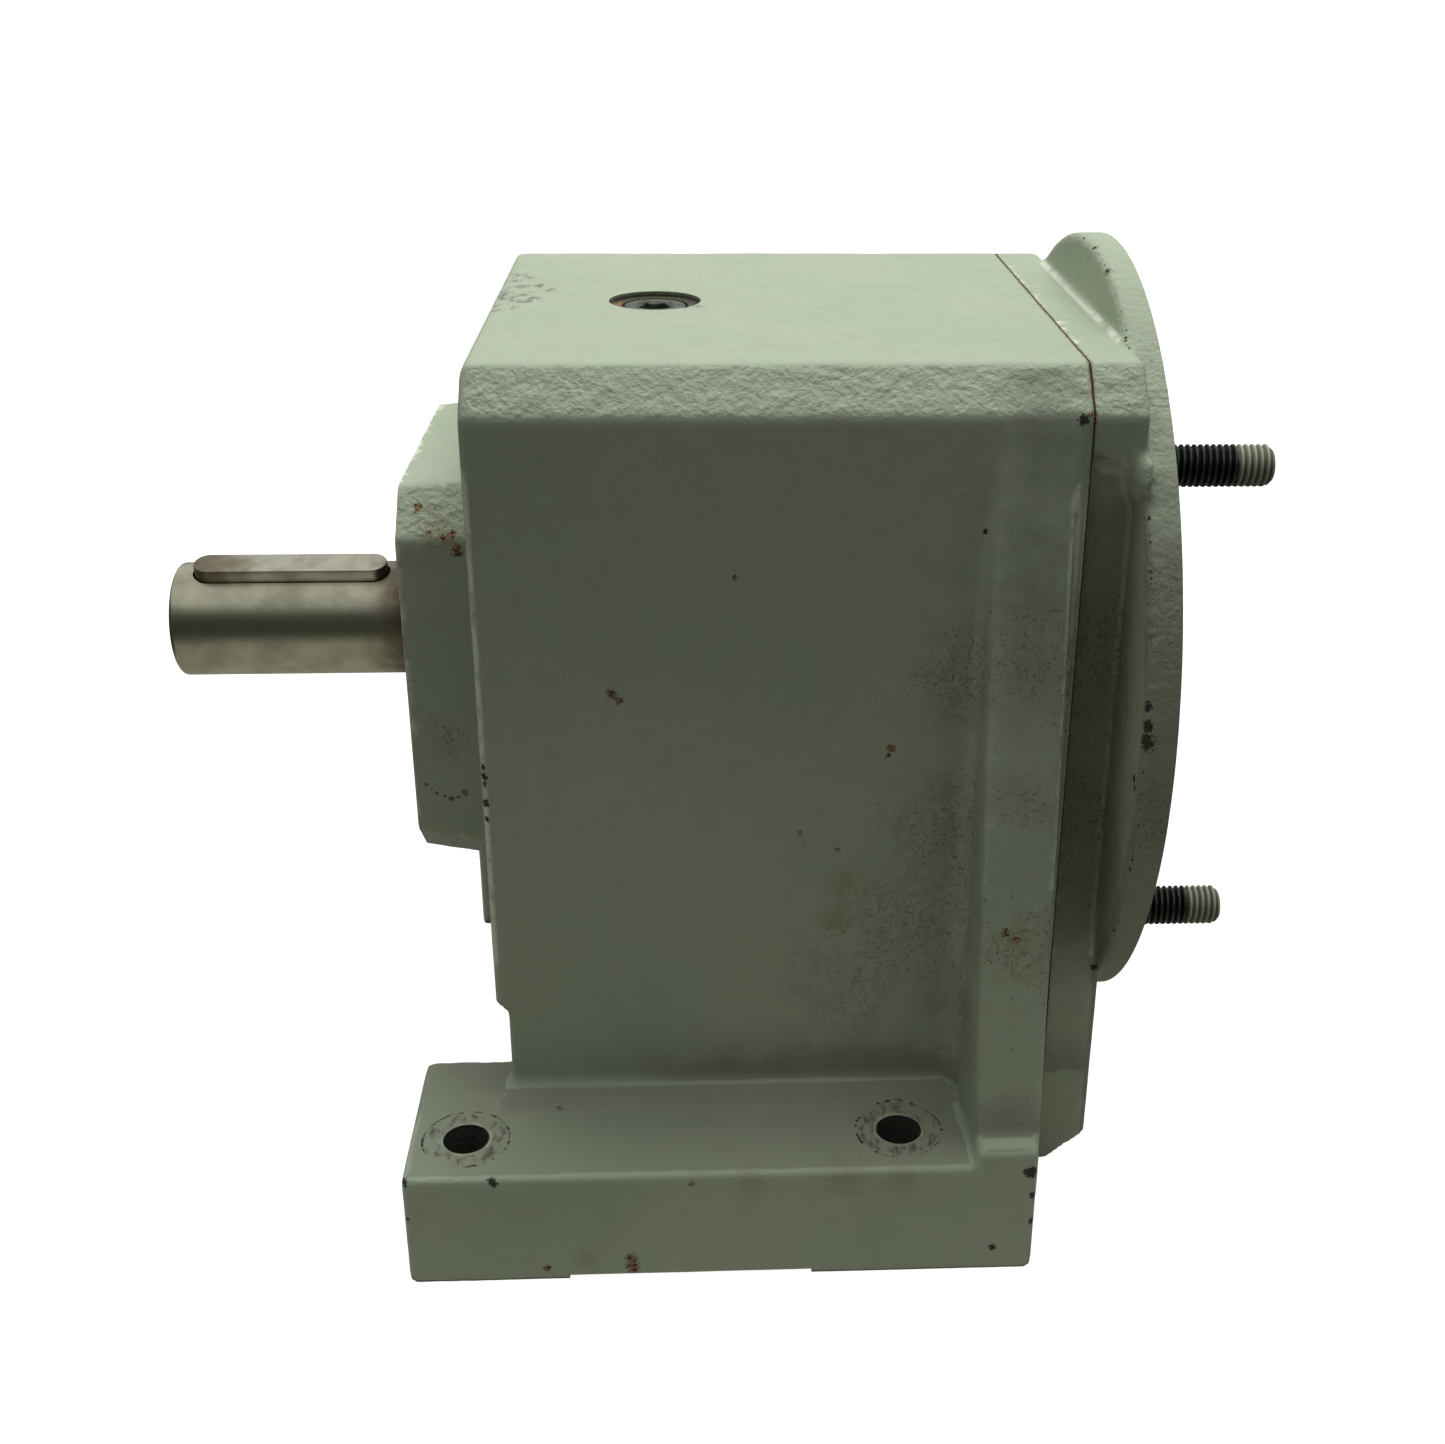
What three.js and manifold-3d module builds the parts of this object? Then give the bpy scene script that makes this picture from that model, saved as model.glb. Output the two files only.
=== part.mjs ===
// Two-stage inline helical gearbox: foot-mounted cast housing, motor flange with four studs,
// keyed output shaft. Millimetres, +Z up. Every part is drawn with the output axis on Y = 0, Z = 0
// and the housing's output end wall at X = 0; the last lines lift the whole onto its feet.
import * as THREE from 'three';
import { mergeVertices } from 'three/addons/utils/BufferGeometryUtils.js';
import { ConvexGeometry } from 'three/addons/geometries/ConvexGeometry.js';
import Module from 'manifold-3d';

const wasm = await Module();
wasm.setup();

// ---------------------------------------------------------------- driving dimensions
const SHAFT_HEIGHT = 132; // output axis above the ground
const SEAM = 137; // housing's length, output wall to the cover joint
const HALF_WIDTH = 76.5;
const TOP = 84.5;
const BELLY = -124; // underside of the housing between the feet
const EDGE = 9.5; // chamfer along the two top edges
const WALL = 7; // side walls and top
const END_WALL = 9; // end wall and floor

const FOOT = { left: -21, right: 131.5, outer: 107, inner: 59, top: -101, bottom: -132 };
const FOOT_HOLE = { radius: 5.5, x: [-7, 99], y: 92 };
const FOOT_RELIEF = { left: 18, right: 77, depth: 1.2 };

const BOSS = { face: -20, half: 48.2, corner: 10.6, root: 4, rootHalf: 50.12 };
const RIB = { top: TOP - EDGE, proud: 1.6, outer: 102, left: 116, waist: 10, right: 132, ledge: -96 };

const GASKET = 0.4;
const COVER = { left: SEAM + GASKET, right: 149.5, lowCorner: 9, hubWall: 7, counterWall: 6 };
const POCKET = { depth: 4.5, top: 62.5, bottom: -60, slope: 1.5 }; // hollow in each side of the cover
const FLANGE = { face: 156, rim: 7.5, radius: 100, root: 77, rootX: 146.5, broken: 0.4 };
const REGISTER = { radius: 65, depth: 4.5 };
const STUD = { radius: 4.95, at: 58.34, tip: 183, root: 141, chamfer: 1.1 };

const CENTRES = 60; // output axis to countershaft axis
const STEPDOWN = -CENTRES;
const PRESSURE_ANGLE = THREE.MathUtils.degToRad(20);
const BACKLASH = 0.24;
const FIRST = {
  module: 1.5,
  middle: 87,
  pinion: { teeth: 17, width: 22 },
  wheel: { teeth: 60, width: 18, recess: [22, 39, 5] },
};
const SECOND = {
  module: 1.75,
  middle: 37,
  pinion: { teeth: 16, width: 26 },
  wheel: { teeth: 50, width: 24, recess: [26, 38, 6] },
};

const BORE_35 = { bore: 17.5, outer: 36, width: 17, ball: 5.55, balls: 9 };
const BORE_25 = { bore: 12.5, outer: 26, width: 15, ball: 3.97, balls: 9 };
const BORE_17 = { bore: 8.5, outer: 20, width: 12, ball: 3.37, balls: 8 };
const BEARINGS = {
  output_front_bearing: { ...BORE_35, left: -9, z: 0 },
  output_rear_bearing: { ...BORE_25, left: 56.5, z: 0 },
  counter_left_bearing: { ...BORE_17, left: 11, z: STEPDOWN },
  counter_right_bearing: { ...BORE_17, left: 124, z: STEPDOWN },
  input_inner_bearing: { ...BORE_35, left: 105.4, z: 0 },
  input_outer_bearing: { ...BORE_35, left: 128, z: 0 },
};
const LIP = 31; // radius of the lips that the 72 mm bearings rest against
const PLATE_LIP = 22.5; // the same for the 52 mm bearing

const FIT = 0.05; // radial gap between a shaft or ring and the seat it sits in
const OPEN = 1; // how far a cutting tool runs past the face it opens
const FACETS = 24; // sides of every turned part
const FEW = 12; // sides of screws, dowels and their holes
const STUD_FACETS = 16;

const WHEEL_SEAT = 17; // shaft radius under the output wheel
const COUNTER_SEAT = 13; // shaft radius under the first-stage wheel

// stepped shafts: each step is [radius, the x where it ends]
const OUTPUT_SHAFT = {
  tip: -86,
  chamfer: 1.5,
  steps: [
    [15, -20.2], // keyed end
    [17.5, 8.4], // seal and front bearing seat
    [22, 24.6], // shoulder
    [WHEEL_SEAT, 49.4],
    [12.5, 72.5], // rear bearing seat
  ],
};
const COUNTER_SHAFT = {
  tip: 11,
  chamfer: 0,
  steps: [
    [8.5, 23.1], // left bearing seat
    [11.5, 52], // under the pinion teeth
    [15, 77.6], // shoulder
    [COUNTER_SEAT, 96.4],
    [8.5, 136], // right bearing seat
  ],
};
const INPUT_SHAFT = {
  tip: 75,
  chamfer: 0,
  steps: [
    [10.5, 99], // under the pinion teeth
    [21, 105.2], // shoulder
    [17.5, 151.2], // bearing and seal seats
  ],
};
const QUILL = { radius: 9.5, depth: 41, keyHalf: 3, keyTop: 12.3 }; // bore for the motor's shaft
const SPACERS = {
  output_spacer: { left: 49.6, right: 56.4, inner: 12.5, outer: 18, z: 0 },
  counter_spacer: { left: 96.6, right: 123.8, inner: 8.5, outer: 12.5, z: STEPDOWN },
  input_spacer: { left: 122.6, right: 127.8, inner: 17.5, outer: 21, z: 0 },
};
const SEALS = { output_seal: [BOSS.face + 0.5, BOSS.face + 10], input_seal: [145.4, 151.2] };
const SEAL = { shaft: 17.5, outer: 36, lipGap: 0.25, rim: 2.5, back: 1.2, lip: 1.5, neck: 3 };

const KEY_SIDE_FIT = 0.05;
const SHAFT_KEY = { left: -80.3, right: -30.3, half: 4, top: 18.3, floor: 11, turn: 15 };
const WHEEL_KEY = { left: 27, right: 47, half: 5, top: 20.3, floor: 12, z: 0 };
const COUNTER_KEY = { left: 80, right: 94, half: 4, top: 16.3, floor: 9, z: STEPDOWN };

const PLATE = { left: 57, right: 69, halfWidth: 68.5, top: 75, bottom: -114, corner: 9, wall: 8 };
const PLATE_WINDOW = { radius: 13, y: 50, z: 12 }; // lets oil and the shaft assembly tool through
const COUNTER_CLEARANCE = 20; // radius of the countershaft's hole in the plate
const PLUG = { radius: 8.3, length: 10, hex: 8, socket: 5, spot: 11.5, sink: 1.2, boss: 14 };
const PLUG_PLACES = {
  filler_plug: { at: [41, 0, TOP], toTop: true },
  level_plug: { at: [95, HALF_WIDTH, -30], toTop: false },
  drain_plug: { at: [95, HALF_WIDTH, -100], toTop: false },
};
const SCREW = { radius: 4, headRadius: 6.5, head: 5, hex: 5, socket: 3, counterbore: 7.3, sink: 1 };
const PLATE_SCREW = { tip: 36, hole: 34, column: 11.3 };
const COVER_SCREW = { tip: 114, hole: 112, column: 9.8, columnLeft: 106 };
const DOWEL = { radius: 2.5, left: 131, right: 140, end: 0.2 };

const PLATE_SCREWS = [[-59, 65], [59, 65], [-59, -104], [59, -104]];
const COVER_SCREWS = [[-30, 72], [30, 72], [-64.5, -25], [64.5, -25], [-62, -106], [62, -106]];
const DOWELS = [80.2, -119.5];

const CAVITY = [HALF_WIDTH - WALL, TOP - WALL - 1.5, BELLY + END_WALL, EDGE - 3];
const STEP_BACK = { depth: 3, top: -74 }; // the end wall's lower part stands back
const COUNTER_BOSS = { radius: 26, right: 23 };

// ---------------------------------------------------------------- solids from geometries
function solid(geometry) {
  const bare = geometry.clone();
  for (const name of ['normal', 'uv']) bare.deleteAttribute(name);
  const welded = mergeVertices(bare, 1e-4);
  const corners = welded.index.array;
  const kept = [];
  for (let i = 0; i < corners.length; i += 3) {
    const [a, b, c] = corners.slice(i, i + 3);
    if (a !== b && b !== c && c !== a) kept.push(a, b, c);
  }
  const vertProperties = new Float32Array(welded.attributes.position.array);
  return new wasm.Manifold(new wasm.Mesh({ numProp: 3, vertProperties, triVerts: new Uint32Array(kept) }));
}

function join(...pieces) {
  return pieces.reduce((whole, piece) => whole.add(piece));
}

function cut(whole, ...holes) {
  return holes.reduce((rest, hole) => rest.subtract(hole), whole);
}

function toGeometry(manifold) {
  const mesh = manifold.getMesh();
  const geometry = new THREE.BufferGeometry();
  const positions = new Float32Array(mesh.numVert * 3);
  for (let i = 0; i < mesh.numVert; i += 1) {
    for (let k = 0; k < 3; k += 1) positions[3 * i + k] = mesh.vertProperties[mesh.numProp * i + k];
  }
  geometry.setAttribute('position', new THREE.BufferAttribute(positions, 3));
  geometry.setIndex(new THREE.BufferAttribute(new Uint32Array(mesh.triVerts), 1));
  geometry.computeVertexNormals();
  return geometry;
}

function box([x0, x1], [y0, y1], [z0, z1]) {
  const geometry = new THREE.BoxGeometry(x1 - x0, y1 - y0, z1 - z0);
  return solid(geometry.translate((x0 + x1) / 2, (y0 + y1) / 2, (z0 + z1) / 2));
}

function hull(points) {
  return solid(new ConvexGeometry(points.map((point) => new THREE.Vector3(...point))));
}

// a round bar along X
function bar([x0, x1], radius, [y, z] = [0, 0], sides = FACETS) {
  const geometry = new THREE.CylinderGeometry(radius, radius, x1 - x0, sides);
  return solid(geometry.rotateZ(-Math.PI / 2).translate((x0 + x1) / 2, y, z));
}

// a body of revolution about X from [x, radius] points, listed from left to right
function turned(profile, [y, z] = [0, 0], sides = FACETS) {
  const points = profile.map(([x, radius]) => new THREE.Vector2(radius, x));
  const geometry = new THREE.LatheGeometry(points, sides);
  return solid(geometry.rotateZ(-Math.PI / 2).translate(0, y, z));
}

// a shaft whose steps grow and shrink from its tip
function stepped({ tip, chamfer, steps }, z = 0) {
  const [firstRadius] = steps[0];
  const profile = [[tip, 0], [tip, firstRadius - chamfer]];
  let left = tip + chamfer;
  for (const [radius, right] of steps) {
    profile.push([left, radius], [right, radius]);
    left = right;
  }
  return turned([...profile, [left, 0]], [0, z]);
}

// a closed ring about X
function ring([x0, x1], inner, outer, at) {
  return turned([[x0, inner], [x0, outer], [x1, outer], [x1, inner], [x0, inner]], at);
}

// an upright round bar
function upright(radius, [x, y], [z0, z1], sides = FACETS) {
  const geometry = new THREE.CylinderGeometry(radius, radius, z1 - z0, sides);
  return solid(geometry.rotateX(Math.PI / 2).translate(x, y, (z0 + z1) / 2));
}

function hexBar([x0, x1], acrossFlats, at) {
  return bar([x0, x1], acrossFlats / Math.sqrt(3), at, 6);
}

// a bar along X from x0 to x1 with an outline drawn in Y, Z
const ALONG_X = new THREE.Matrix4().makeBasis(
  new THREE.Vector3(0, 1, 0),
  new THREE.Vector3(0, 0, 1),
  new THREE.Vector3(1, 0, 0),
);
function prism([x0, x1], outline) {
  const shape = new THREE.Shape(outline.map(([y, z]) => new THREE.Vector2(y, z)));
  const geometry = new THREE.ExtrudeGeometry(shape, { depth: x1 - x0, bevelEnabled: false });
  return solid(geometry.applyMatrix4(ALONG_X).translate(x0, 0, 0));
}

// the casing's cross-section: a box with its two top edges cut off
function casingOutline(halfWidth, top, bottom, corner) {
  return [
    [-halfWidth, bottom],
    [halfWidth, bottom],
    [halfWidth, top - corner],
    [halfWidth - corner, top],
    [-halfWidth + corner, top],
    [-halfWidth, top - corner],
  ];
}

function bothSides(piece) {
  return join(piece, piece.mirror([0, 1, 0]));
}

// ---------------------------------------------------------------- housing
function bossSection(x, half) {
  const short = half - BOSS.corner;
  const corners = [[short, half], [half, short], [half, -short], [short, -half]];
  return corners.flatMap(([y, z]) => [[x, y, z], [x, -y, z]]);
}

function outputBoss() {
  return hull([...bossSection(BOSS.face, BOSS.half), ...bossSection(BOSS.root, BOSS.rootHalf)]);
}

// the strong rib beside the joint face: nearly flush at the top, flared out to its ledge on the foot
function jointRib() {
  const inner = -HALF_WIDTH + 3;
  const flare = 6;
  const below = FOOT.top - 2;
  const section = (z, outer, [left, right], [rootLeft, rootRight]) => [
    [left, outer, z], [right, outer, z], [rootLeft, inner, z], [rootRight, inner, z],
  ];
  const top = [[RIB.left, RIB.left + RIB.waist], [RIB.left - flare / 2, RIB.left + 18]];
  const low = [[RIB.left, RIB.right], [RIB.left - flare, SEAM - 0.5]];
  const ledge = [
    [-RIB.outer, RIB.ledge], [-FOOT.outer, RIB.ledge - 3],
    [-FOOT.outer, below - 2], [inner, below - 2], [inner, RIB.ledge],
  ];
  return join(
    hull([
      ...section(RIB.top, -HALF_WIDTH - RIB.proud, ...top),
      ...section(RIB.ledge, -RIB.outer, ...low),
      ...section(below, -RIB.outer, ...low),
    ]),
    hull([RIB.left, FOOT.right].flatMap((x) => ledge.map(([y, z]) => [x, y, z]))),
  );
}

function footBar() {
  const block = box([FOOT.left, FOOT.right], [-FOOT.outer, -FOOT.inner], [FOOT.bottom, FOOT.top]);
  const relief = box(
    [FOOT_RELIEF.left, FOOT_RELIEF.right],
    [-FOOT.outer - OPEN, -FOOT.inner + OPEN],
    [FOOT.bottom - OPEN, FOOT.bottom + FOOT_RELIEF.depth],
  );
  return cut(block, relief);
}

function footHoles() {
  const through = [FOOT.bottom - OPEN, FOOT.top + OPEN];
  const { radius, y } = FOOT_HOLE;
  return FOOT_HOLE.x.flatMap((x) => [[x, -y], [x, y]]).map((at) => upright(radius, at, through));
}

function plugHole({ at, toTop }) {
  const spot = upright(PLUG.spot, [0, 0], [-PLUG.sink, OPEN]);
  const bore = upright(PLUG.radius + FIT, [0, 0], [-2 * PLUG.length, OPEN]);
  const hole = join(spot, bore);
  return (toTop ? hole : hole.rotate([-90, 0, 0])).translate(at);
}

function insideColumns() {
  const inWall = casingOutline(HALF_WIDTH - 2, TOP - 2, BELLY + 2, EDGE);
  const [fillerX, fillerY] = PLUG_PLACES.filler_plug.at;
  return join(
    ...PLATE_SCREWS.map((at) => bar([END_WALL - 2, PLATE.left - 0.2], PLATE_SCREW.column, at, FEW)),
    ...COVER_SCREWS.map((at) => bar([COVER_SCREW.columnLeft, SEAM], COVER_SCREW.column, at, FEW)),
    upright(PLUG.boss, [fillerX, fillerY], [TOP - PLUG.boss, TOP - 3]),
  ).intersect(prism([END_WALL - 3, SEAM], inWall));
}

function housing() {
  const shell = cut(
    prism([0, SEAM], casingOutline(HALF_WIDTH, TOP, BELLY, EDGE)),
    box([-OPEN, STEP_BACK.depth], [-HALF_WIDTH - OPEN, HALF_WIDTH + OPEN], [BELLY - OPEN, STEP_BACK.top]),
  );
  const outside = join(shell, outputBoss(), bothSides(jointRib()), bothSides(footBar()));
  const cavity = prism([END_WALL, SEAM + OPEN], casingOutline(...CAVITY));
  const counterBoss = bar([END_WALL - 2, COUNTER_BOSS.right], COUNTER_BOSS.radius, [0, STEPDOWN]);
  const bearing = BEARINGS.output_front_bearing;
  const counter = BEARINGS.counter_left_bearing;
  const screwRadius = SCREW.radius + FIT;
  return cut(
    join(cut(outside, cavity), insideColumns(), counterBoss),
    bar([BOSS.face - OPEN, bearing.left + bearing.width + 0.1], bearing.outer + FIT),
    bar([0, END_WALL + OPEN], LIP),
    bar([counter.left - 0.2, COUNTER_BOSS.right + OPEN], counter.outer + FIT, [0, STEPDOWN]),
    ...PLATE_SCREWS.map((at) => bar([PLATE_SCREW.hole, PLATE.left + OPEN], screwRadius, at, FEW)),
    ...COVER_SCREWS.map((at) => bar([COVER_SCREW.hole, SEAM + OPEN], screwRadius, at, FEW)),
    ...dowelHoles([DOWEL.left - DOWEL.end, SEAM + OPEN]),
    ...Object.values(PLUG_PLACES).map(plugHole),
    ...footHoles(),
  );
}

// ---------------------------------------------------------------- input cover and its gasket
function seatOf([y, z]) {
  const outsideFlange = Math.hypot(y, z) > FLANGE.radius;
  return (outsideFlange ? COVER.right : FLANGE.face) - SCREW.head - SCREW.sink;
}

function coverPlate() {
  const { lowCorner, right } = COVER;
  const wide = HALF_WIDTH + 10;
  const lowEdge = [
    [right + OPEN, BELLY - OPEN], [right + OPEN, BELLY + lowCorner], [right, BELLY + lowCorner],
    [right - lowCorner / 2, BELLY + lowCorner / 3],
    [right - lowCorner, BELLY], [right - lowCorner, BELLY - OPEN],
  ];
  const inner = -HALF_WIDTH + POCKET.depth;
  const outer = -HALF_WIDTH - OPEN;
  const pocket = [
    [inner, POCKET.bottom - POCKET.slope], [inner, POCKET.top + POCKET.slope],
    [outer, POCKET.bottom], [outer, POCKET.top],
  ];
  return cut(
    prism([COVER.left, right], casingOutline(HALF_WIDTH, TOP, BELLY, EDGE)),
    hull([-wide, wide].flatMap((y) => lowEdge.map(([x, z]) => [x, y, z]))),
    bothSides(hull([COVER.left - OPEN, FLANGE.rootX].flatMap((x) => pocket.map(([y, z]) => [x, y, z])))),
  );
}

function flangeDisc() {
  const { face, rim, radius, root, rootX, broken } = FLANGE;
  const profile = [
    [rootX, 0], [rootX, root], [face - rim, radius - broken],
    [face - broken, radius], [face, radius - broken], [face, 0],
  ];
  return turned(profile, [0, 0], 2 * FACETS);
}

function inputCover() {
  const first = BEARINGS.input_inner_bearing;
  const counter = BEARINGS.counter_right_bearing;
  const past = FLANGE.face + OPEN;
  const lip = 2;
  const below = [0, STEPDOWN];
  const hub = bar([first.left - lip, COVER.left + lip], first.outer + COVER.hubWall);
  const counterBoss = bar([counter.left - lip, COVER.left + lip], counter.outer + COVER.counterWall, below);
  return cut(
    join(coverPlate(), flangeDisc(), hub, counterBoss),
    bar([first.left - 0.1, past], first.outer + FIT),
    bar([first.left - lip - OPEN, first.left + OPEN], LIP),
    bar([counter.left - lip - OPEN, counter.left + counter.width + 0.2], counter.outer + FIT, below),
    bar([FLANGE.face - REGISTER.depth, past], REGISTER.radius, [0, 0], 2 * FACETS),
    ...studPlaces().map((at) => bar([STUD.root - OPEN, past], STUD.radius + FIT, at, STUD_FACETS)),
    ...COVER_SCREWS.map((at) => join(
      bar([COVER.left - OPEN, FLANGE.face], SCREW.radius + FIT, at, FEW),
      bar([seatOf(at), past], SCREW.counterbore, at, FEW),
    )),
    ...dowelHoles([COVER.left - OPEN, DOWEL.right + DOWEL.end]),
  );
}

function coverGasket() {
  const slack = 0.02;
  const inset = 0.3;
  const through = [SEAM - OPEN, SEAM + OPEN];
  const outline = casingOutline(HALF_WIDTH - inset, TOP - inset, BELLY + inset, EDGE);
  return cut(
    prism([SEAM + slack, SEAM + GASKET - slack], outline),
    prism(through, casingOutline(...CAVITY)),
    ...COVER_SCREWS.map((at) => bar(through, SCREW.radius + inset, at, FEW)),
    ...DOWELS.map((z) => bar(through, DOWEL.radius + inset, [0, z], FEW)),
  );
}

// ---------------------------------------------------------------- the plate between the two stages
function bearingPlate() {
  const bearing = BEARINGS.output_rear_bearing;
  const end = bearing.left + bearing.width;
  const outline = casingOutline(PLATE.halfWidth, PLATE.top, PLATE.bottom, PLATE.corner);
  const through = [PLATE.left - 3, PLATE.right + 3];
  const { radius, y, z } = PLATE_WINDOW;
  const hub = bar([bearing.left - 2, end + 0.5], bearing.outer + PLATE.wall);
  return cut(
    join(prism([PLATE.left, PLATE.right], outline), hub),
    bar([bearing.left - 0.1, end + OPEN], bearing.outer + FIT),
    bar([bearing.left - 3, bearing.left + OPEN], PLATE_LIP),
    bar(through, COUNTER_CLEARANCE, [0, STEPDOWN]),
    ...[-y, y].map((side) => bar(through, radius, [side, z], FEW)),
    ...PLATE_SCREWS.map((at) => bar(through, SCREW.radius + FIT, at, FEW)),
  );
}

// ---------------------------------------------------------------- fasteners and plugs
function studPlaces() {
  const sides = [-STUD.at, STUD.at];
  return [...sides].reverse().flatMap((z) => sides.map((y) => [y, z]));
}

function motorStud(at) {
  const { root, tip, radius, chamfer } = STUD;
  const profile = [[root, 0], [root, radius], [tip - chamfer, radius], [tip, radius - chamfer], [tip, 0]];
  return turned(profile, at, STUD_FACETS);
}

function lowHeadScrew(tip, seat, at) {
  const top = seat + SCREW.head;
  const rest = 0.02;
  return cut(
    join(
      bar([tip, seat + OPEN], SCREW.radius, at, FEW),
      bar([seat + rest, top], SCREW.headRadius, at, FEW),
    ),
    hexBar([top - SCREW.socket, top + OPEN], SCREW.hex, at),
  );
}

function dowel(z) {
  return bar([DOWEL.left, DOWEL.right], DOWEL.radius, [0, z], FEW);
}

function dowelHoles(span) {
  return DOWELS.map((z) => bar(span, DOWEL.radius + FIT, [0, z], FEW));
}

function plug({ at, toTop }) {
  const face = -PLUG.sink;
  const body = upright(PLUG.radius, [0, 0], [face - PLUG.length, face]);
  const socket = upright(PLUG.hex / Math.sqrt(3), [0, 0], [face - PLUG.socket, face + OPEN], 6);
  const whole = cut(body, socket);
  return (toTop ? whole : whole.rotate([-90, 0, 0])).translate(at);
}

// ---------------------------------------------------------------- bearings and seals
// the two races of a deep-groove ball bearing share one section, mirrored about the ball circle
function raceSection({ left, width, bore, outer, ball }, seat, away) {
  const right = left + width;
  const middle = left + width / 2;
  const pitch = (bore + outer) / 2;
  const shoulder = pitch + 0.7 * away * ball;
  const groove = pitch + away * ball;
  const mouth = 0.78 * ball;
  const floor = 0.42 * ball;
  const section = [
    [left, seat], [right, seat], [right, shoulder], [middle + mouth, shoulder], [middle + floor, groove],
    [middle - floor, groove], [middle - mouth, shoulder], [left, shoulder], [left, seat],
  ];
  return away > 0 ? section : section.reverse();
}

function outerRace(bearing) {
  return turned(raceSection(bearing, bearing.outer, 1), [0, bearing.z]);
}

function innerRace(bearing) {
  return turned(raceSection(bearing, bearing.bore + FIT, -1), [0, bearing.z]);
}

function ballsAndCage({ left, width, bore, outer, ball, balls, z }) {
  const middle = left + width / 2;
  const pitch = (bore + outer) / 2;
  const half = { width: 2, thickness: 0.8 };
  const cageSides = 16;
  const cage = cut(
    bar([middle - half.width, middle + half.width], pitch + half.thickness, [0, z], cageSides),
    bar([middle - half.width - OPEN, middle + half.width + OPEN], pitch - half.thickness, [0, z], cageSides),
  );
  const shrunk = 0.92 * ball;
  const set = Array.from({ length: balls }, (_, i) => {
    const angle = (2 * Math.PI * i) / balls;
    const geometry = new THREE.IcosahedronGeometry(shrunk, 0).rotateX(angle);
    return solid(geometry.translate(middle, pitch * Math.sin(angle), z + pitch * Math.cos(angle)));
  });
  return join(cage, ...set);
}

// an oil seal: rim in the bore, flat back, and a lip that leaves the faceted shaft room to turn
function lipSeal([x0, x1]) {
  const { shaft, outer, lipGap, rim, back, lip, neck } = SEAL;
  return turned([
    [x0, shaft + lipGap], [x0, outer], [x1, outer], [x1, outer - rim], [x0 + back, outer - rim],
    [x0 + back, shaft + neck], [x1 - lip, shaft + neck], [x1 - lip, shaft + lipGap], [x0, shaft + lipGap],
  ]);
}

// ---------------------------------------------------------------- gears
function involute(angle) {
  return Math.tan(angle) - angle;
}

// transverse outline of a helical gear whose first tooth, or gap, points along +Y of the sketch
function toothedOutline(teeth, module, helix, startsWithGap, flankPoints) {
  const radius = (teeth * module) / (2 * Math.cos(helix));
  const pressure = Math.atan(Math.tan(PRESSURE_ANGLE) / Math.cos(helix));
  const base = radius * Math.cos(pressure);
  const root = radius - 1.25 * module;
  const tip = radius + module;
  const halfTooth = Math.PI / (2 * teeth) - BACKLASH / (4 * radius);
  const halfAngle = (r) => halfTooth + involute(pressure) - involute(Math.acos(Math.min(1, base / r)));
  const start = Math.max(base, root);
  const flank = Array.from({ length: flankPoints }, (_, i) => {
    const r = start + ((tip - start) * i) / (flankPoints - 1);
    return [r, halfAngle(r)];
  });
  if (base > root + 0.1) flank.unshift([root, halfAngle(base)]);
  const outline = [];
  for (let tooth = 0; tooth < teeth; tooth += 1) {
    const turn = (2 * Math.PI * (tooth + (startsWithGap ? 0.5 : 0))) / teeth + Math.PI / 2;
    const rising = flank.map(([r, half]) => [r, turn - half]);
    const falling = [...flank].reverse().map(([r, half]) => [r, turn + half]);
    for (const [r, angle] of [...rising, ...falling]) {
      outline.push(new THREE.Vector2(r * Math.cos(angle), r * Math.sin(angle)));
    }
  }
  return outline;
}

// one gear of a stage, part being 'pinion' or 'wheel'. pointsUp says whether its mesh is above its axis.
function helicalGear(stage, part, { hand, z, pointsUp }) {
  const { module, middle, pinion, wheel } = stage;
  const { teeth, width } = stage[part];
  const isWheel = part === 'wheel';
  const helix = Math.acos((module * (pinion.teeth + wheel.teeth)) / (2 * CENTRES));
  const radius = (teeth * module) / (2 * Math.cos(helix));
  const shape = new THREE.Shape(toothedOutline(teeth, module, helix, isWheel, isWheel ? 2 : 3));
  const steps = isWheel ? 1 : 2;
  const geometry = new THREE.ExtrudeGeometry(shape, { depth: width, steps, bevelEnabled: false });
  geometry.translate(0, 0, -width / 2);
  const corners = geometry.attributes.position;
  const point = new THREE.Vector3();
  const axis = new THREE.Vector3(0, 0, 1);
  for (let i = 0; i < corners.count; i += 1) {
    point.fromBufferAttribute(corners, i);
    const twist = (hand * Math.tan(helix) * point.z) / radius + (pointsUp ? 0 : Math.PI);
    point.applyAxisAngle(axis, twist);
    corners.setXYZ(i, point.x, point.y, point.z);
  }
  return solid(geometry.applyMatrix4(ALONG_X).translate(middle, 0, z));
}

// a wheel bored for its shaft and key, with a ring-shaped recess in each face
function keyedWheel(stage, turn, boreRadius, key) {
  const { width, recess } = stage.wheel;
  const [inner, outer, depth] = recess;
  const left = stage.middle - width / 2;
  const right = stage.middle + width / 2;
  const at = [0, key.z];
  return cut(
    helicalGear(stage, 'wheel', turn),
    ring([left - OPEN, left + depth], inner, outer, at),
    ring([right - depth, right + OPEN], inner, outer, at),
    bar([left - OPEN, right + OPEN], boreRadius + FIT, at),
    keySlot(key, [left - OPEN, right + OPEN], [key.floor - 2, key.top + FIT]),
  );
}

// ---------------------------------------------------------------- keys and their slots
function squareKey({ left, right, half, floor, top, z }) {
  return box([left, right], [-half, half], [floor + z, top + z]);
}

function keySlot({ half, z }, span, [z0, z1]) {
  const side = half + KEY_SIDE_FIT;
  return box(span, [-side, side], [z0 + z, z1 + z]);
}

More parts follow.
